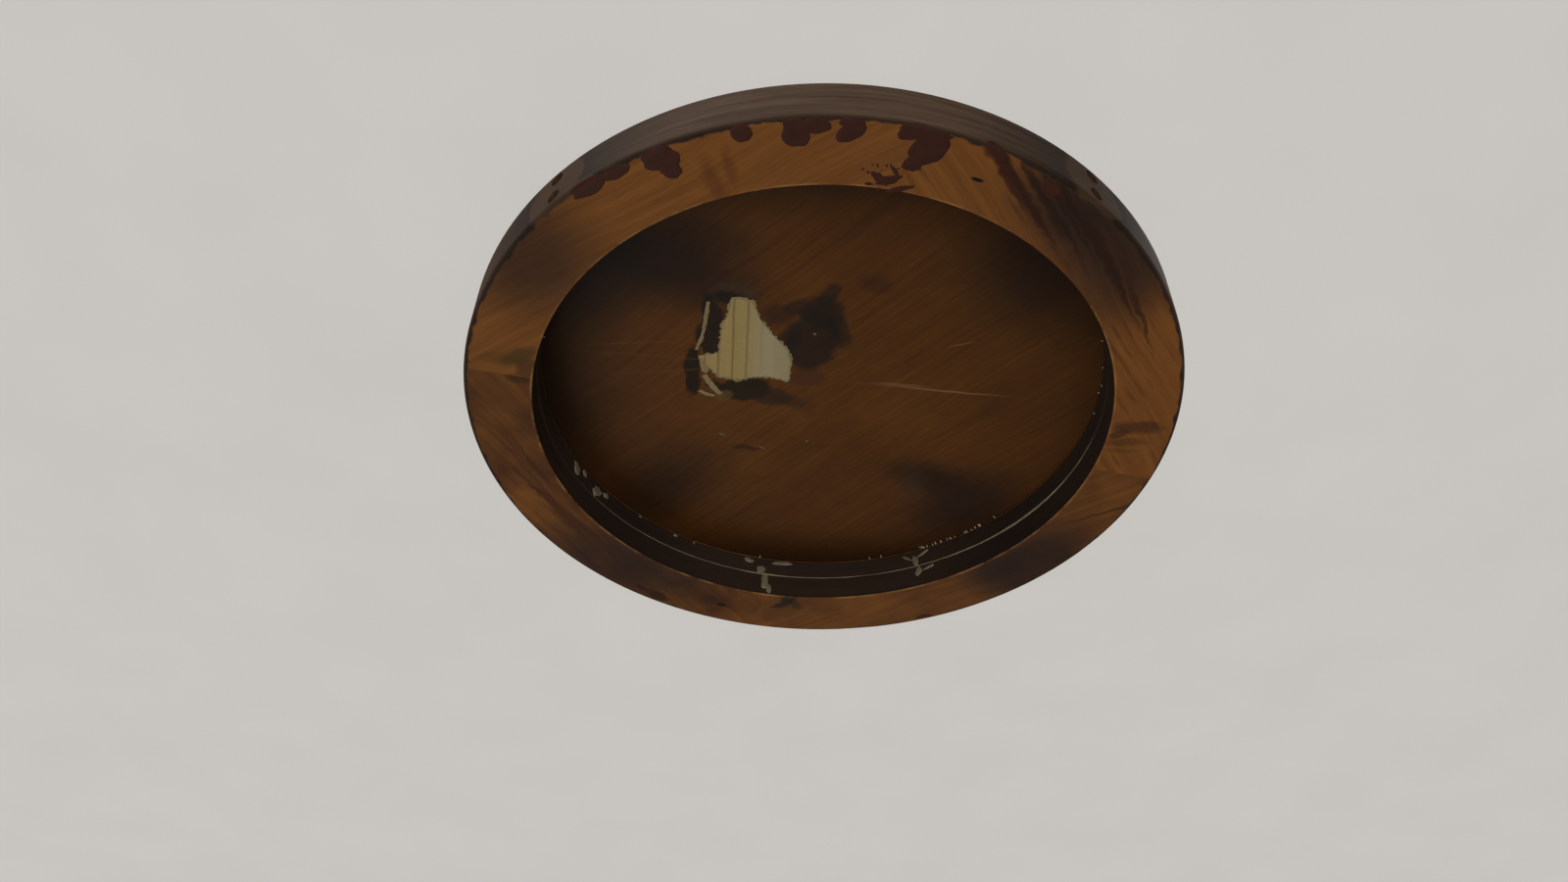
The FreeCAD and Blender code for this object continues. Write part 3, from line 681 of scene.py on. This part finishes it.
def paperMaterial(name, torn):
    material, tree, place = startMaterial(name)
    along = addNode(
        tree,
        "Mapping",
        {"Vector": wander(tree, place, 20, 0.7), "Rotation": (0, 0, math.radians(label["ribTurn"]))},
        vector_type="TEXTURE",
    )
    rib = addNode(
        tree,
        "TexWave",
        {"Vector": along, "Scale": math.pi / (10 * label["ribs"]), "Distortion": 0.6, "Detail": 2},
        bands_direction="X",
    )
    line = addNode(tree, "MapRange", {0: rib.outputs["Fac"], 1: 0.85, 2: 1, 3: 0, 4: 0.1 if torn else 0.6})
    spot = addNode(tree, "SeparateXYZ", {0: along})
    rightward = addNode(tree, "MapRange", {0: spot.outputs["X"], 1: -46, 2: -34})
    leftOnly = addNode(tree, "MapRange", {0: rightward, 3: 1, 4: 0.12})
    line = addNode(tree, "Math", {0: line, 1: leftOnly}, operation="MULTIPLY")
    tooth = addNode(
        tree, "Math", {0: spot.outputs["Y"], 1: math.tau / label["teeth"]}, operation="MULTIPLY"
    )
    teeth = addNode(tree, "Math", {0: tooth}, operation="SINE")
    atRight = addNode(tree, "MapRange", {0: spot.outputs["X"], 1: -31, 2: -22, 3: 0, 4: 0.5})
    teeth = addNode(tree, "Math", {0: teeth, 1: atRight}, operation="MULTIPLY")
    line = addNode(tree, "Math", {0: line, 1: teeth}, operation="MAXIMUM")
    pulp = addNode(tree, "TexNoise", {"Vector": place, "Scale": 1 / 3, "Detail": 6, "Roughness": 0.7})
    fresh = label["torn"] if torn else label["face"]
    base = addNode(tree, "Mix", {0: pulp.outputs["Fac"], 6: fresh, 7: label["faceAged"]})
    if not torn:
        bleached = addNode(tree, "Math", {0: rightward, 1: 0.7}, operation="MULTIPLY")
        base = addNode(tree, "Mix", {0: bleached, 6: base, 7: label["faceBleached"]})
    mixed = addNode(tree, "Mix", {0: line, 6: base, 7: label["faceDark"]})
    relief = addNode(tree, "Math", {0: rib.outputs["Fac"], 1: pulp.outputs["Fac"]}, operation="ADD")
    bump = addNode(tree, "Bump", {"Height": relief, "Strength": 0.5, "Distance": 0.2 * mm})
    return closeMaterial(material, tree, colour=mixed, rough=0.8, normal=bump, ior=1.45)


def tornOutline(corners, grow, ragged, seed):
    # the outline with points every 1.5 mm, moved out by `grow` and roughened
    chance = random.Random(seed)
    outline = []
    for (x0, y0), (x1, y1) in zip(corners, corners[1:] + corners[:1]):
        run = math.hypot(x1 - x0, y1 - y0)
        steps = max(1, round(run / 1.5))
        outX, outY = (y1 - y0) / run, -(x1 - x0) / run
        for step in range(steps):
            share = step / steps
            push = grow + chance.uniform(-ragged, ragged)
            outline.append((x0 + (x1 - x0) * share + outX * push, y0 + (y1 - y0) * share + outY * push))
    return outline


def addPaper(name, outline, level, thickness, material):
    # flat paper, cut along the outline, with a faint cockle
    low = (min(p[0] for p in outline), min(p[1] for p in outline))
    high = (max(p[0] for p in outline), max(p[1] for p in outline))
    step = label["grid"]
    inner = [
        Vector((low[0] + i * step, low[1] + j * step))
        for i in range(int((high[0] - low[0]) / step) + 1)
        for j in range(int((high[1] - low[1]) / step) + 1)
    ]
    corners = [Vector(p) for p in outline]
    loop = list(range(len(corners)))
    found, _, triangles, *_ = geometry.delaunay_2d_cdt(corners + inner, [], [loop], 1, 1e-5)
    triangles = [t for t in triangles if len(t) == 3]
    cockle = []
    for p in found:
        ribbed = 0.12 * math.sin(p.x * math.tau / label["ribs"])
        cockle.append(ribbed + 0.1 * noise.noise(Vector((p.x / 9, p.y / 9, 0))))
    front = [(p.x, p.y, level - thickness / 2 + c) for p, c in zip(found, cockle)]
    back = [(p.x, p.y, level + thickness / 2 + c) for p, c in zip(found, cockle)]
    count = len(found)
    edges = {}
    for t in triangles:
        for k in range(3):
            edges.setdefault(frozenset((t[k], t[(k + 1) % 3])), []).append((t[k], t[(k + 1) % 3]))
    rim = [pair[0] for pair in edges.values() if len(pair) == 1]
    faces = [tuple(reversed(t)) for t in triangles] + [tuple(count + k for k in t) for t in triangles]
    faces += [(a, b, count + b, count + a) for a, b in rim]
    return addPiece(name, front + back, faces, material, "pad")


agedPaper = paperMaterial("AgedLabelPaper", False)
labelPiece = addPaper("label", tornOutline(labelCorners, 0, 0.45, 3), boardBottom - 0.28, 0.1, agedPaper)
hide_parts("paper_label")
tornPaper = paperMaterial("TornPaperFibre", True)
addPaper("label_torn_layer", tornOutline(labelCorners, 0.9, 0.9, 5), boardBottom - 0.13, 0.08, tornPaper)
scraps = [  # what is left of the label's old border
    [(-63, -66), (-61, -66), (-63, -52), (-66, -40), (-70, -30), (-71.5, -31), (-67.5, -42), (-65, -54)],
    [(-70, -26), (-66, -27), (-64, -16), (-66, -12), (-69, -15)],
    [(-72, 2), (-70, 1), (-62, 5), (-62, 6.5), (-68, 5.5)],
    [(-69, -10), (-66, -12), (-60, 0), (-57, 4), (-60, 5), (-64, 0)],
]
for number, corners in enumerate(scraps, start=1):
    outline = tornOutline(corners, 0, 0.3, 20 + number)
    addPaper(f"label_scrap_{number}", outline, boardBottom - 0.15, 0.08, tornPaper)
print("label laid")

# Upholstery: foam, wadding and a calico lining under a wool cover that is pulled over the board and tacked.
layers = {  # straight side and, for a shell, wall in mm
    "foam_pad": {"side": 8},
    "wadding": {"side": 9, "wallSide": 1.9, "wallTop": 3.9},
    "lining": {"side": 15, "wallSide": 0.4, "wallTop": 0.4},
}
domeSteps = 22


def domeLine(radius, base, side, top, count):  # from the crown, over the shoulder, down to the base
    line = []
    for step in range(count + 1):
        turn = math.pi / 2 * step / count
        line.append((radius * math.sin(turn), base + side + (top - base - side) * math.cos(turn)))
    return line + [(radius, base + side * 0.5), (radius, base)]


def addLathe(name, line, material, body, soften, seed):
    # the line turned round the axis, from pole to pole, made a little uneven, with its places on flat cloth
    around = 120
    points, flat, faces = [], [], []
    run = 0
    for index, (reach, level) in enumerate(line):
        if index:
            run += math.dist(line[index], line[index - 1])
        count = 1 if reach < 1e-6 else around
        for k in range(count):
            turn = math.tau * k / around
            x, y = math.cos(turn), math.sin(turn)
            uneven = noise.noise(Vector((x * reach / 35 + seed, y * reach / 35, level / 20))) * soften
            lift = uneven if 0.12 < index / len(line) < 0.9 else 0
            points.append((x * (reach + lift * 0.3), y * (reach + lift * 0.3), level + lift))
            flat.append((x * run, y * run, 0))
    starts, total = [], 0
    for reach, _ in line:
        starts.append(total)
        total += 1 if reach < 1e-6 else around
    for index in range(len(line) - 1):
        a, b = starts[index], starts[index + 1]
        for k in range(around):
            n = (k + 1) % around
            if line[index][0] < 1e-6:
                faces.append((a, b + k, b + n))
            elif line[index + 1][0] < 1e-6:
                faces.append((a + k, b, a + n))
            else:
                faces.append((a + k, b + k, b + n, a + n))
    piece = addPiece(name, points, faces, material, body)
    keepFlat(piece, flat)
    return piece


def keepFlat(piece, flat):  # where each point lies on the flat cloth, in mm, for the weave
    stored = piece.data.attributes.new("flatCloth", "FLOAT_VECTOR", "POINT")
    stored.data.foreach_set("vector", [c for point in flat for c in point])


def weave(tree, thread, group):  # relief of a plain weave with threads in groups: 1 calico, 2 hopsack
    flat = addNode(tree, "Attribute", attribute_name="flatCloth").outputs["Vector"]
    loose = wander(tree, flat, 18, thread * 0.25)
    counted = addNode(tree, "VectorMath", {0: loose, "Scale": 1 / thread}, operation="SCALE")
    across = addNode(tree, "SeparateXYZ", {0: counted})
    ridges, bows, cells = [], [], []
    for axis in ("X", "Y"):
        turned = addNode(tree, "Math", {0: across.outputs[axis], 1: math.pi}, operation="MULTIPLY")
        wave = addNode(tree, "Math", {0: turned}, operation="SINE")
        ridge = addNode(tree, "Math", {0: wave}, operation="ABSOLUTE")
        ridges.append(addNode(tree, "Math", {0: ridge, 1: 0.5}, operation="POWER"))
        wide = addNode(tree, "Math", {0: turned, 1: 1 / group}, operation="MULTIPLY")
        bow = addNode(tree, "Math", {0: wide}, operation="SINE")
        bows.append(addNode(tree, "Math", {0: bow}, operation="ABSOLUTE"))
        grouped = addNode(tree, "Math", {0: across.outputs[axis], 1: 1 / group}, operation="MULTIPLY")
        cells.append(addNode(tree, "Math", {0: grouped}, operation="FLOOR"))
    total = addNode(tree, "Math", {0: cells[0], 1: cells[1]}, operation="ADD")
    odd = addNode(tree, "Math", {0: total, 1: 2}, operation="FLOORED_MODULO")
    over = addNode(tree, "MapRange", {0: odd, 3: 0.75, 4: -0.75})
    under = addNode(tree, "MapRange", {0: odd, 3: -0.75, 4: 0.75})
    heights = []
    for ridge, bow, sign in ((ridges[0], bows[1], over), (ridges[1], bows[0], under)):
        lift = addNode(tree, "Math", {0: bow, 1: sign, 2: 1}, operation="MULTIPLY_ADD")
        heights.append(addNode(tree, "Math", {0: ridge, 1: lift}, operation="MULTIPLY"))
    relief = addNode(tree, "Math", {0: heights[0], 1: heights[1]}, operation="MAXIMUM")
    warpOnTop = addNode(tree, "Math", {0: heights[0], 1: heights[1]}, operation="GREATER_THAN")
    return flat, relief, warpOnTop


# Wool hopsack, piece dyed in two close tones: coarse threads in pairs with a soft, hairy halo.
# Its threads are drawn 1.7 mm wide, about half as wide again as real ones, so that they show.
wool = {"warp": "#8b7a54", "weft": "#74663f", "hollowShade": "#3d3521", "thread": 1.7}


def clothMaterial(name, cloth, group, sheen):
    material, tree, place = startMaterial(name)
    flat, relief, warpOnTop = weave(tree, cloth["thread"], group)
    yarn = addNode(tree, "Mix", {0: warpOnTop, 6: cloth["weft"], 7: cloth["warp"]})
    slub = addNode(tree, "TexNoise", {"Vector": flat, "Scale": 1 / 9, "Detail": 5, "Roughness": 0.75})
    uneven = addNode(tree, "MapRange", {0: slub.outputs["Fac"], 1: 0.35, 2: 0.65, 3: 0, 4: 0.5})
    yarn = addNode(tree, "Mix", {0: uneven, 6: yarn, 7: cloth["weft"]})
    shade = addNode(tree, "MapRange", {0: relief, 1: 0.9, 2: 0.2, 3: 0, 4: 0.85})
    colour = addNode(tree, "Mix", {0: shade, 6: yarn, 7: cloth["hollowShade"]})
    fluff = addNode(tree, "TexNoise", {"Vector": flat, "Scale": 2.2, "Detail": 3})
    rough = addNode(tree, "Math", {0: fluff.outputs["Fac"], 1: 0.5, 2: relief}, operation="MULTIPLY_ADD")
    bump = addNode(tree, "Bump", {"Height": rough, "Strength": 0.8, "Distance": cloth["thread"] * 0.3 * mm})
    return closeMaterial(
        material, tree, colour=colour, rough=0.92, normal=bump, sheen=sheen, sheenRough=0.5
    )


def fillingMaterial(name, colour, hollowShade, grain, depth):  # foam cells or matted cotton
    material, tree, place = startMaterial(name)
    cells = addNode(
        tree, "TexVoronoi", {"Vector": wander(tree, place, grain * 2, grain), "Scale": 1 / grain}
    )
    # painted shade: the hollows of the foam cells and cotton tufts are darkened
    dark = addNode(tree, "MapRange", {0: cells.outputs["Distance"], 1: 0.1, 2: 0.7, 3: 0.8, 4: 0})
    mixed = addNode(tree, "Mix", {0: dark, 6: colour, 7: hollowShade})
    bump = addNode(
        tree, "Bump", {"Height": cells.outputs["Distance"], "Strength": 0.7, "Distance": depth * mm}
    )
    return closeMaterial(material, tree, colour=mixed, rough=0.95, normal=bump)


# Unbleached calico: cream cotton in a fine plain weave, nearly without sheen.
cotton = {"warp": "#d9cdb4", "weft": "#cbbd9f", "hollowShade": "#8f8166", "thread": 0.9}
calico = clothMaterial("UnbleachedCalico", cotton, 1, 0.15)
woolHopsack = clothMaterial("WoolHopsack", wool, 2, 0.3)
agedFoam = fillingMaterial("AgedPolyurethaneFoam", "#c9a75c", "#7d5e28", 1.1, 0.5)
mattedCotton = fillingMaterial("MattedCottonWadding", "#ddd7c8", "#a59c88", 2.6, 0.8)

insertRadius = radiiOf("foam_insert")[1]
insertBottom, insertTop = levelsOf("foam_insert")
insertBevel = 12
gap = 0.1
insertLine = [
    (0, insertTop), (60, insertTop), (insertRadius - insertBevel - 2, insertTop),
    (insertRadius - insertBevel, insertTop - 0.5), (insertRadius - 2, insertBottom + 1.2),
    (insertRadius - 0.6, insertBottom), (60, insertBottom), (0, insertBottom),
]
foamInsert = addLathe("foam_crown_insert", insertLine, agedFoam, "pad", 0, 1)
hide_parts("foam_insert")

foamRadius = radiiOf("foam_pad")[1]
foamBottom, foamTop = levelsOf("foam_pad")
foamLine = domeLine(foamRadius, foamBottom, layers["foam_pad"]["side"], foamTop, domeSteps)
foamLine += [
    (insertRadius + gap, foamBottom), (insertRadius - insertBevel + gap, insertTop + gap),
    (60, insertTop + gap), (0, insertTop + gap),
]
foamPad = addLathe("foam_core", foamLine, agedFoam, "pad", -0.35, 2)
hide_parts("foam_pad")


def shellLine(node):  # a dome with a wall: out along its top, back along its underside
    kind = layers[node]
    radius, (low, high) = radiiOf(node)[1], levelsOf(node)
    outside = domeLine(radius, low, kind["side"], high, domeSteps)
    inside = domeLine(radius - kind["wallSide"], low, kind["side"], high - kind["wallTop"], domeSteps)
    return outside + inside[::-1], sum(math.dist(a, b) for a, b in zip(outside, outside[1:]))


waddingLine, _ = shellLine("wadding")
waddingPiece = addLathe("cotton_wadding", waddingLine, mattedCotton, "pad", 0.12, 3)
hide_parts("wadding")

liningLine, liningRun = shellLine("lining")
liningPiece = addLathe("calico_lining", liningLine, calico, "pad", 0.1, 4)
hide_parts("lining")
print("filling laid")

# The cover is one round of cloth without seams, drawn tight over the lining and tacked under the board.
cover = {
    "tacks": 28,
    "rings": 32,
    "discShare": 0.97,
    "side": 15,
    "bottomRound": 1.5,
    "hemWidth": 13.8,
    "thickness": 0.7,
    "swellFrames": 20,
    "capOut": 2.2,
    "capUp": 6,
    "bulge": 1.1,
    "tackReach": 21,
    "evenShare": 0.93,
    "seatDip": 2.2,
    "dipAt": (6, -10),
    "dipHalf": (95, 85),
    "quickRise": 4,
    "clear": 1.25,  # mm that the outer face is set off the lining, before the crown is evened
}
shoulder = coverBottom + cover["thickness"] + cover["side"]


def coverPlan():  # points, faces and flat places of the cover's outer face, from the crown to the hem
    count = cover["rings"]
    crown = coverTop - shoulder
    rings = [(coverRadius * cover["discShare"] * k / count) for k in range(count + 1)]
    line = [(r, shoulder + crown * math.sqrt(1 - (r / coverRadius) ** 2)) for r in rings]
    start = math.asin(cover["discShare"])
    rows = []
    for step in (1, 2, 3):
        turn = start + (math.pi / 2 - start) * step / 3
        rows.append((coverRadius * math.sin(turn), shoulder + crown * math.cos(turn)))
    bottomRound = cover["bottomRound"]
    for share in (0.25, 0.5, 0.75, 1):
        rows.append((coverRadius, shoulder + (coverBottom + bottomRound - shoulder) * share))
    for turn in (30, 60, 90):
        reach = coverRadius - bottomRound * (1 - math.cos(math.radians(turn)))
        rows.append((reach, coverBottom + bottomRound * (1 - math.sin(math.radians(turn)))))
    for share in (0.3, 0.6, 0.85, 1):
        rows.append((coverRadius - bottomRound - (cover["hemWidth"] - bottomRound) * share, coverBottom))
    runs = [0]
    for before, after in zip(line + rows, line[1:] + rows):
        runs.append(runs[-1] + math.dist(before, after))
    points, flat, where = [], [], {}
    for i in range(-count, count + 1):
        for j in range(-count, count + 1):
            k = max(abs(i), abs(j))
            if k == 0:
                turn = 0
            elif abs(i) >= abs(j):
                turn = math.pi / 4 * j / i + (0 if i > 0 else math.pi)
            else:
                turn = math.pi / 2 - math.pi / 4 * i / j + (0 if j > 0 else math.pi)
            where[i, j] = len(points)
            points.append((math.cos(turn) * line[k][0], math.sin(turn) * line[k][0], line[k][1]))
            flat.append((math.cos(turn) * runs[k], math.sin(turn) * runs[k], 0))
    faces = [
        (where[i, j], where[i + 1, j], where[i + 1, j + 1], where[i, j + 1])
        for i in range(-count, count)
        for j in range(-count, count)
    ]
    border = [index for (i, j), index in where.items() if max(abs(i), abs(j)) == count]
    border.sort(key=lambda index: math.atan2(points[index][1], points[index][0]))
    above = border
    for row, (reach, level) in enumerate(rows):
        below = list(range(len(points), len(points) + len(border)))
        for index in border:
            turn = math.atan2(points[index][1], points[index][0])
            run = runs[count + 1 + row]
            points.append((math.cos(turn) * reach, math.sin(turn) * reach, level))
            flat.append((math.cos(turn) * run, math.sin(turn) * run, 0))
        for k in range(len(border)):
            n = (k + 1) % len(border)
            faces.append((above[k], below[k], below[n], above[n]))
        above = below
    held = [index for index, point in enumerate(points) if point[2] < coverBottom + bottomRound + 0.5]
    return points, faces, flat, held, runs[-1]


clothSettings = {
    "quality": 6, "tension_stiffness": 25, "compression_stiffness": 25, "bending_stiffness": 1.5,
    "use_pressure": True, "uniform_pressure_force": 4,
}


def swell(piece, held):  # blow the cloth up against its tacked edge, as its filling does
    group = piece.vertex_groups.new(name="held")
    group.add(held, 1, "REPLACE")
    cloth = piece.modifiers.new("cloth", "CLOTH")
    for setting, value in clothSettings.items():
        setattr(cloth.settings, setting, value)
    cloth.settings.vertex_group_mass = "held"
    cloth.settings.effector_weights.gravity = 0
    cloth.point_cache.frame_start, cloth.point_cache.frame_end = 1, cover["swellFrames"]
    rest = np.array([v.co for v in piece.data.vertices])
    for frameNumber in range(1, cover["swellFrames"] + 1):
        scene.frame_set(frameNumber)
    swollen = piece.evaluated_get(bpy.context.evaluated_depsgraph_get())
    moved = np.array([v.co for v in swollen.data.vertices]) - rest
    piece.modifiers.remove(cloth)
    piece.vertex_groups.remove(group)
    scene.frame_set(1)
    out = np.hypot(moved[:, 0], moved[:, 1])
    moved[:, :2] *= np.minimum(1, cover["capOut"] * mm / np.maximum(out, 1e-9))[:, None]
    moved[:, 2] = np.clip(moved[:, 2], -0.5 * mm, cover["capUp"] * mm)
    piece.data.vertices.foreach_set("co", (rest + moved).ravel())
    print(f"cover swelled by up to {np.abs(moved).max() / mm:.1f} mm")


def settle(piece):  # ripples between the tacks and the dip of long use, set outside the lining
    nearest = radiiOf("lining")[1] + cover["clear"]
    lowest = levelsOf("lining")[1] + cover["clear"] - shoulder
    for vertex in piece.data.vertices:
        x, y, z = (c / mm for c in vertex.co)
        reach, turn = math.hypot(x, y), math.atan2(y, x)
        low = max(0, min(1, (coverBottom + cover["tackReach"] - z) / 20)) if reach > coverRadius - 6 else 0
        tight = 0.5 + 0.5 * math.cos(cover["tacks"] * turn + math.pi)
        ripple = noise.noise(Vector((math.cos(turn) * 16, math.sin(turn) * 16, z / 30)))
        bulge = cover["bulge"] * low**1.5 * (1 - tight + 0.5 * ripple) if z > coverBottom + 0.8 else 0
        offX = (x - cover["dipAt"][0]) / cover["dipHalf"][0]
        offY = (y - cover["dipAt"][1]) / cover["dipHalf"][1]
        dip = cover["seatDip"] * math.exp(-(offX**2) - offY**2)
        soft = 0.7 * noise.noise(Vector((x / 45, y / 45, 3)))
        soft += 0.25 * noise.noise(Vector((x / 14, y / 14, 8)))
        rise = soft * min(1, max(0, (z - 40) / 12)) - (dip if z > 45 else 0)
        reachOut, level = reach + bulge, z + rise
        inside = math.hypot(reachOut / nearest, max(0, level - shoulder) / lowest)
        if inside < 1 and z > coverBottom + cover["bottomRound"]:
            reachOut /= inside
            level = shoulder + (level - shoulder) / (inside if level > shoulder else 1)
        share = reachOut / reach if reach > 1 else 1
        vertex.co = Vector((x * share, y * share, level)) * mm


def applyModifiers(piece):
    made = bpy.data.meshes.new_from_object(piece.evaluated_get(bpy.context.evaluated_depsgraph_get()))
    piece.modifiers.clear()
    piece.data = made


points, faces, flat, held, coverRun = coverPlan()
cushion = addPiece("cushion_cover", points, faces, woolHopsack, "pad")
keepFlat(cushion, flat)
swell(cushion, held)
settle(cushion)
crown = cushion.vertex_groups.new(name="crown")
crownLine, crownReach = (coverBottom + cover["side"]) * mm, cover["evenShare"] * coverRadius * mm
onCrown = [v.index for v in cushion.data.vertices if v.co.z > crownLine and v.co.xy.length < crownReach]
crown.add(onCrown, 1, "REPLACE")
even = cushion.modifiers.new("even", "SMOOTH")
even.factor, even.iterations, even.vertex_group = 0.5, 14, "crown"
smooth = cushion.modifiers.new("smooth", "SUBSURF")
smooth.levels = smooth.render_levels = 1
wall = cushion.modifiers.new("wall", "SOLIDIFY")
wall.thickness = cover["thickness"] * mm
wall.offset = -1
applyModifiers(cushion)
cushion.data.shade_smooth()
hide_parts("seat_cover")

# Threads that frayed from the cover's cut edge and stick out between the board and the ring.
fray = {"from": 50, "to": 66, "count": 22, "strays": 14, "wide": 0.28, "sides": 5, "steps": 7}


def addFray():
    chance = random.Random(5)
    hem = coverRadius - cover["hemWidth"] + 0.6
    points, faces = [], []
    ends = [chance.uniform(fray["from"], fray["to"]) for _ in range(fray["count"])]
    ends += [chance.uniform(0, 360) for _ in range(fray["strays"])]
    for angle in ends:
        tip = upperBore - chance.uniform(0.4, 1.8)
        level = boardBottom - 0.45 - chance.uniform(0, 0.25)
        drift, wide = chance.uniform(-0.9, 0.9), fray["wide"] * chance.uniform(0.7, 1.3)
        first, steps = len(points), fray["steps"]
        for step in range(steps):
            share = step / (steps - 1)
            reach = hem + (tip - hem) * share
            turn = math.radians(angle + drift * share**2)
            for side in range(fray["sides"]):
                around = math.tau * side / fray["sides"]
                sideways = wide * math.cos(around) / reach
                height = level + wide * math.sin(around) + 0.12 * math.sin(share * 9)
                points.append((reach * math.cos(turn + sideways), reach * math.sin(turn + sideways), height))
        count = fray["sides"]
        for step in range(steps - 1):
            a, b = first + step * count, first + (step + 1) * count
            faces += [(a + k, a + (k + 1) % count, b + (k + 1) % count, b + k) for k in range(count)]
        faces += [tuple(range(first, first + count))[::-1], tuple(range(len(points) - count, len(points)))]
    return addPiece("frayed_threads", points, faces, threadMaterial(), "pad")


def threadMaterial():  # loose wool ends, bleached with dust
    material, tree, place = startMaterial("DustyWoolThread")
    dust = addNode(tree, "TexNoise", {"Vector": place, "Scale": 1 / 1.5})
    mixed = addNode(tree, "Mix", {0: dust.outputs["Fac"], 6: "#8d8063", 7: "#c2b698"})
    return closeMaterial(material, tree, colour=mixed, rough=0.9)


addFray()
print("cover tacked")

# Camera: low in front of the seat, looking up at its underside.
view = {
    "lens": 29.076,
    "place": (-0.00722, -0.51201, -0.50017),
    "lookAlong": (-0.01957, 0.72373, 0.68981),
    "up": (0, -0.68994, 0.72386),
}
cameraData = bpy.data.cameras.new("camera")
cameraData.lens = view["lens"]
cameraData.sensor_width = 36
camera = bpy.data.objects.new("camera", cameraData)
scene.collection.objects.link(camera)
lookAlong = Vector(view["lookAlong"]).normalized()
imageRight = lookAlong.cross(Vector(view["up"])).normalized()
imageUp = imageRight.cross(lookAlong)
turned = Matrix((imageRight, imageUp, -lookAlong)).transposed().to_4x4()
camera.matrix_world = Matrix.Translation(view["place"]) @ turned
cameraData.clip_start = 0.01
scene.camera = camera

# Stage: a pale floor under the seat, and a pale ceiling over it that views from below look up to.
stage = {"colour": "#f4f1ed", "shade": "#ece8e2", "size": 60, "ceiling": 2}


def stageMaterial():
    material, tree, place = startMaterial("PaleMattPaint")
    behind = addNode(tree, "NewGeometry").outputs["Backfacing"]
    cloud = addNode(tree, "TexNoise", {"Vector": place, "Scale": 1 / 400, "Detail": 2})
    mixed = addNode(tree, "Mix", {0: cloud.outputs["Fac"], 6: stage["colour"], 7: stage["shade"]})
    shader = addNode(tree, "BsdfPrincipled", {"Base Color": mixed, "Roughness": 0.85})
    clear = addNode(tree, "BsdfTransparent")
    both = addNode(tree, "MixShader", {0: behind, 1: shader, 2: clear})
    addNode(tree, "OutputMaterial", {"Surface": both})
    return material


def addStage(name, centre, facing, material):
    half = stage["size"] / 2
    mesh = bpy.data.meshes.new(name)
    mesh.from_pydata(
        [(-half, -half, 0), (half, -half, 0), (half, half, 0), (-half, half, 0)], [], [(0, 1, 2, 3)]
    )
    mesh.materials.append(material)
    plane = bpy.data.objects.new(name, mesh)
    turned = Vector(facing).to_track_quat("Z", "Y").to_matrix().to_4x4()
    plane.matrix_world = Matrix.Translation(centre) @ turned
    scene.collection.objects.link(plane)
    for ray in ("visible_diffuse", "visible_glossy", "visible_transmission", "visible_shadow"):
        setattr(plane, ray, False)


paint = stageMaterial()
addStage("floor", (0, 0, cadBounds[0].z - 0.0012), (0, 0, 1), paint)
addStage("ceiling", (0, 0, stage["ceiling"]), (0, 0, -1), paint)

lights = {  # where it comes from, how wide it is in degrees, its strength; all are very soft
    "low_key": ((0.3, -2.6, -2.2), 45, 1.5),
    "low_fill": ((-2.0, 1.7, -2.6), 45, 0.8),
    "high_key": ((-2.2, -2.2, 3.4), 35, 1.7),
    "high_fill": ((3.0, 1.7, 2.7), 45, 0.8),
}
for name, (where, width, strength) in lights.items():
    data = bpy.data.lights.new(name, "SUN")
    data.angle, data.energy = math.radians(width), strength
    lamp = bpy.data.objects.new(name, data)
    lamp.location = where
    lamp.rotation_mode = "QUATERNION"
    lamp.rotation_quaternion = (-Vector(where)).to_track_quat("-Z", "Y")
    scene.collection.objects.link(lamp)
world = bpy.data.worlds.new("studio")
world.use_nodes = True
seen = addNode(world.node_tree, "LightPath").outputs["Is Camera Ray"]
glow = addNode(world.node_tree, "MapRange", {0: seen, 3: 0.3, 4: 1})
sky = world.node_tree.nodes["Background"]
sky.inputs["Color"].default_value = linear("#c9c6c2")
world.node_tree.links.new(glow.outputs[0], sky.inputs["Strength"])
scene.world = world
scene.view_settings.view_transform = "Standard"
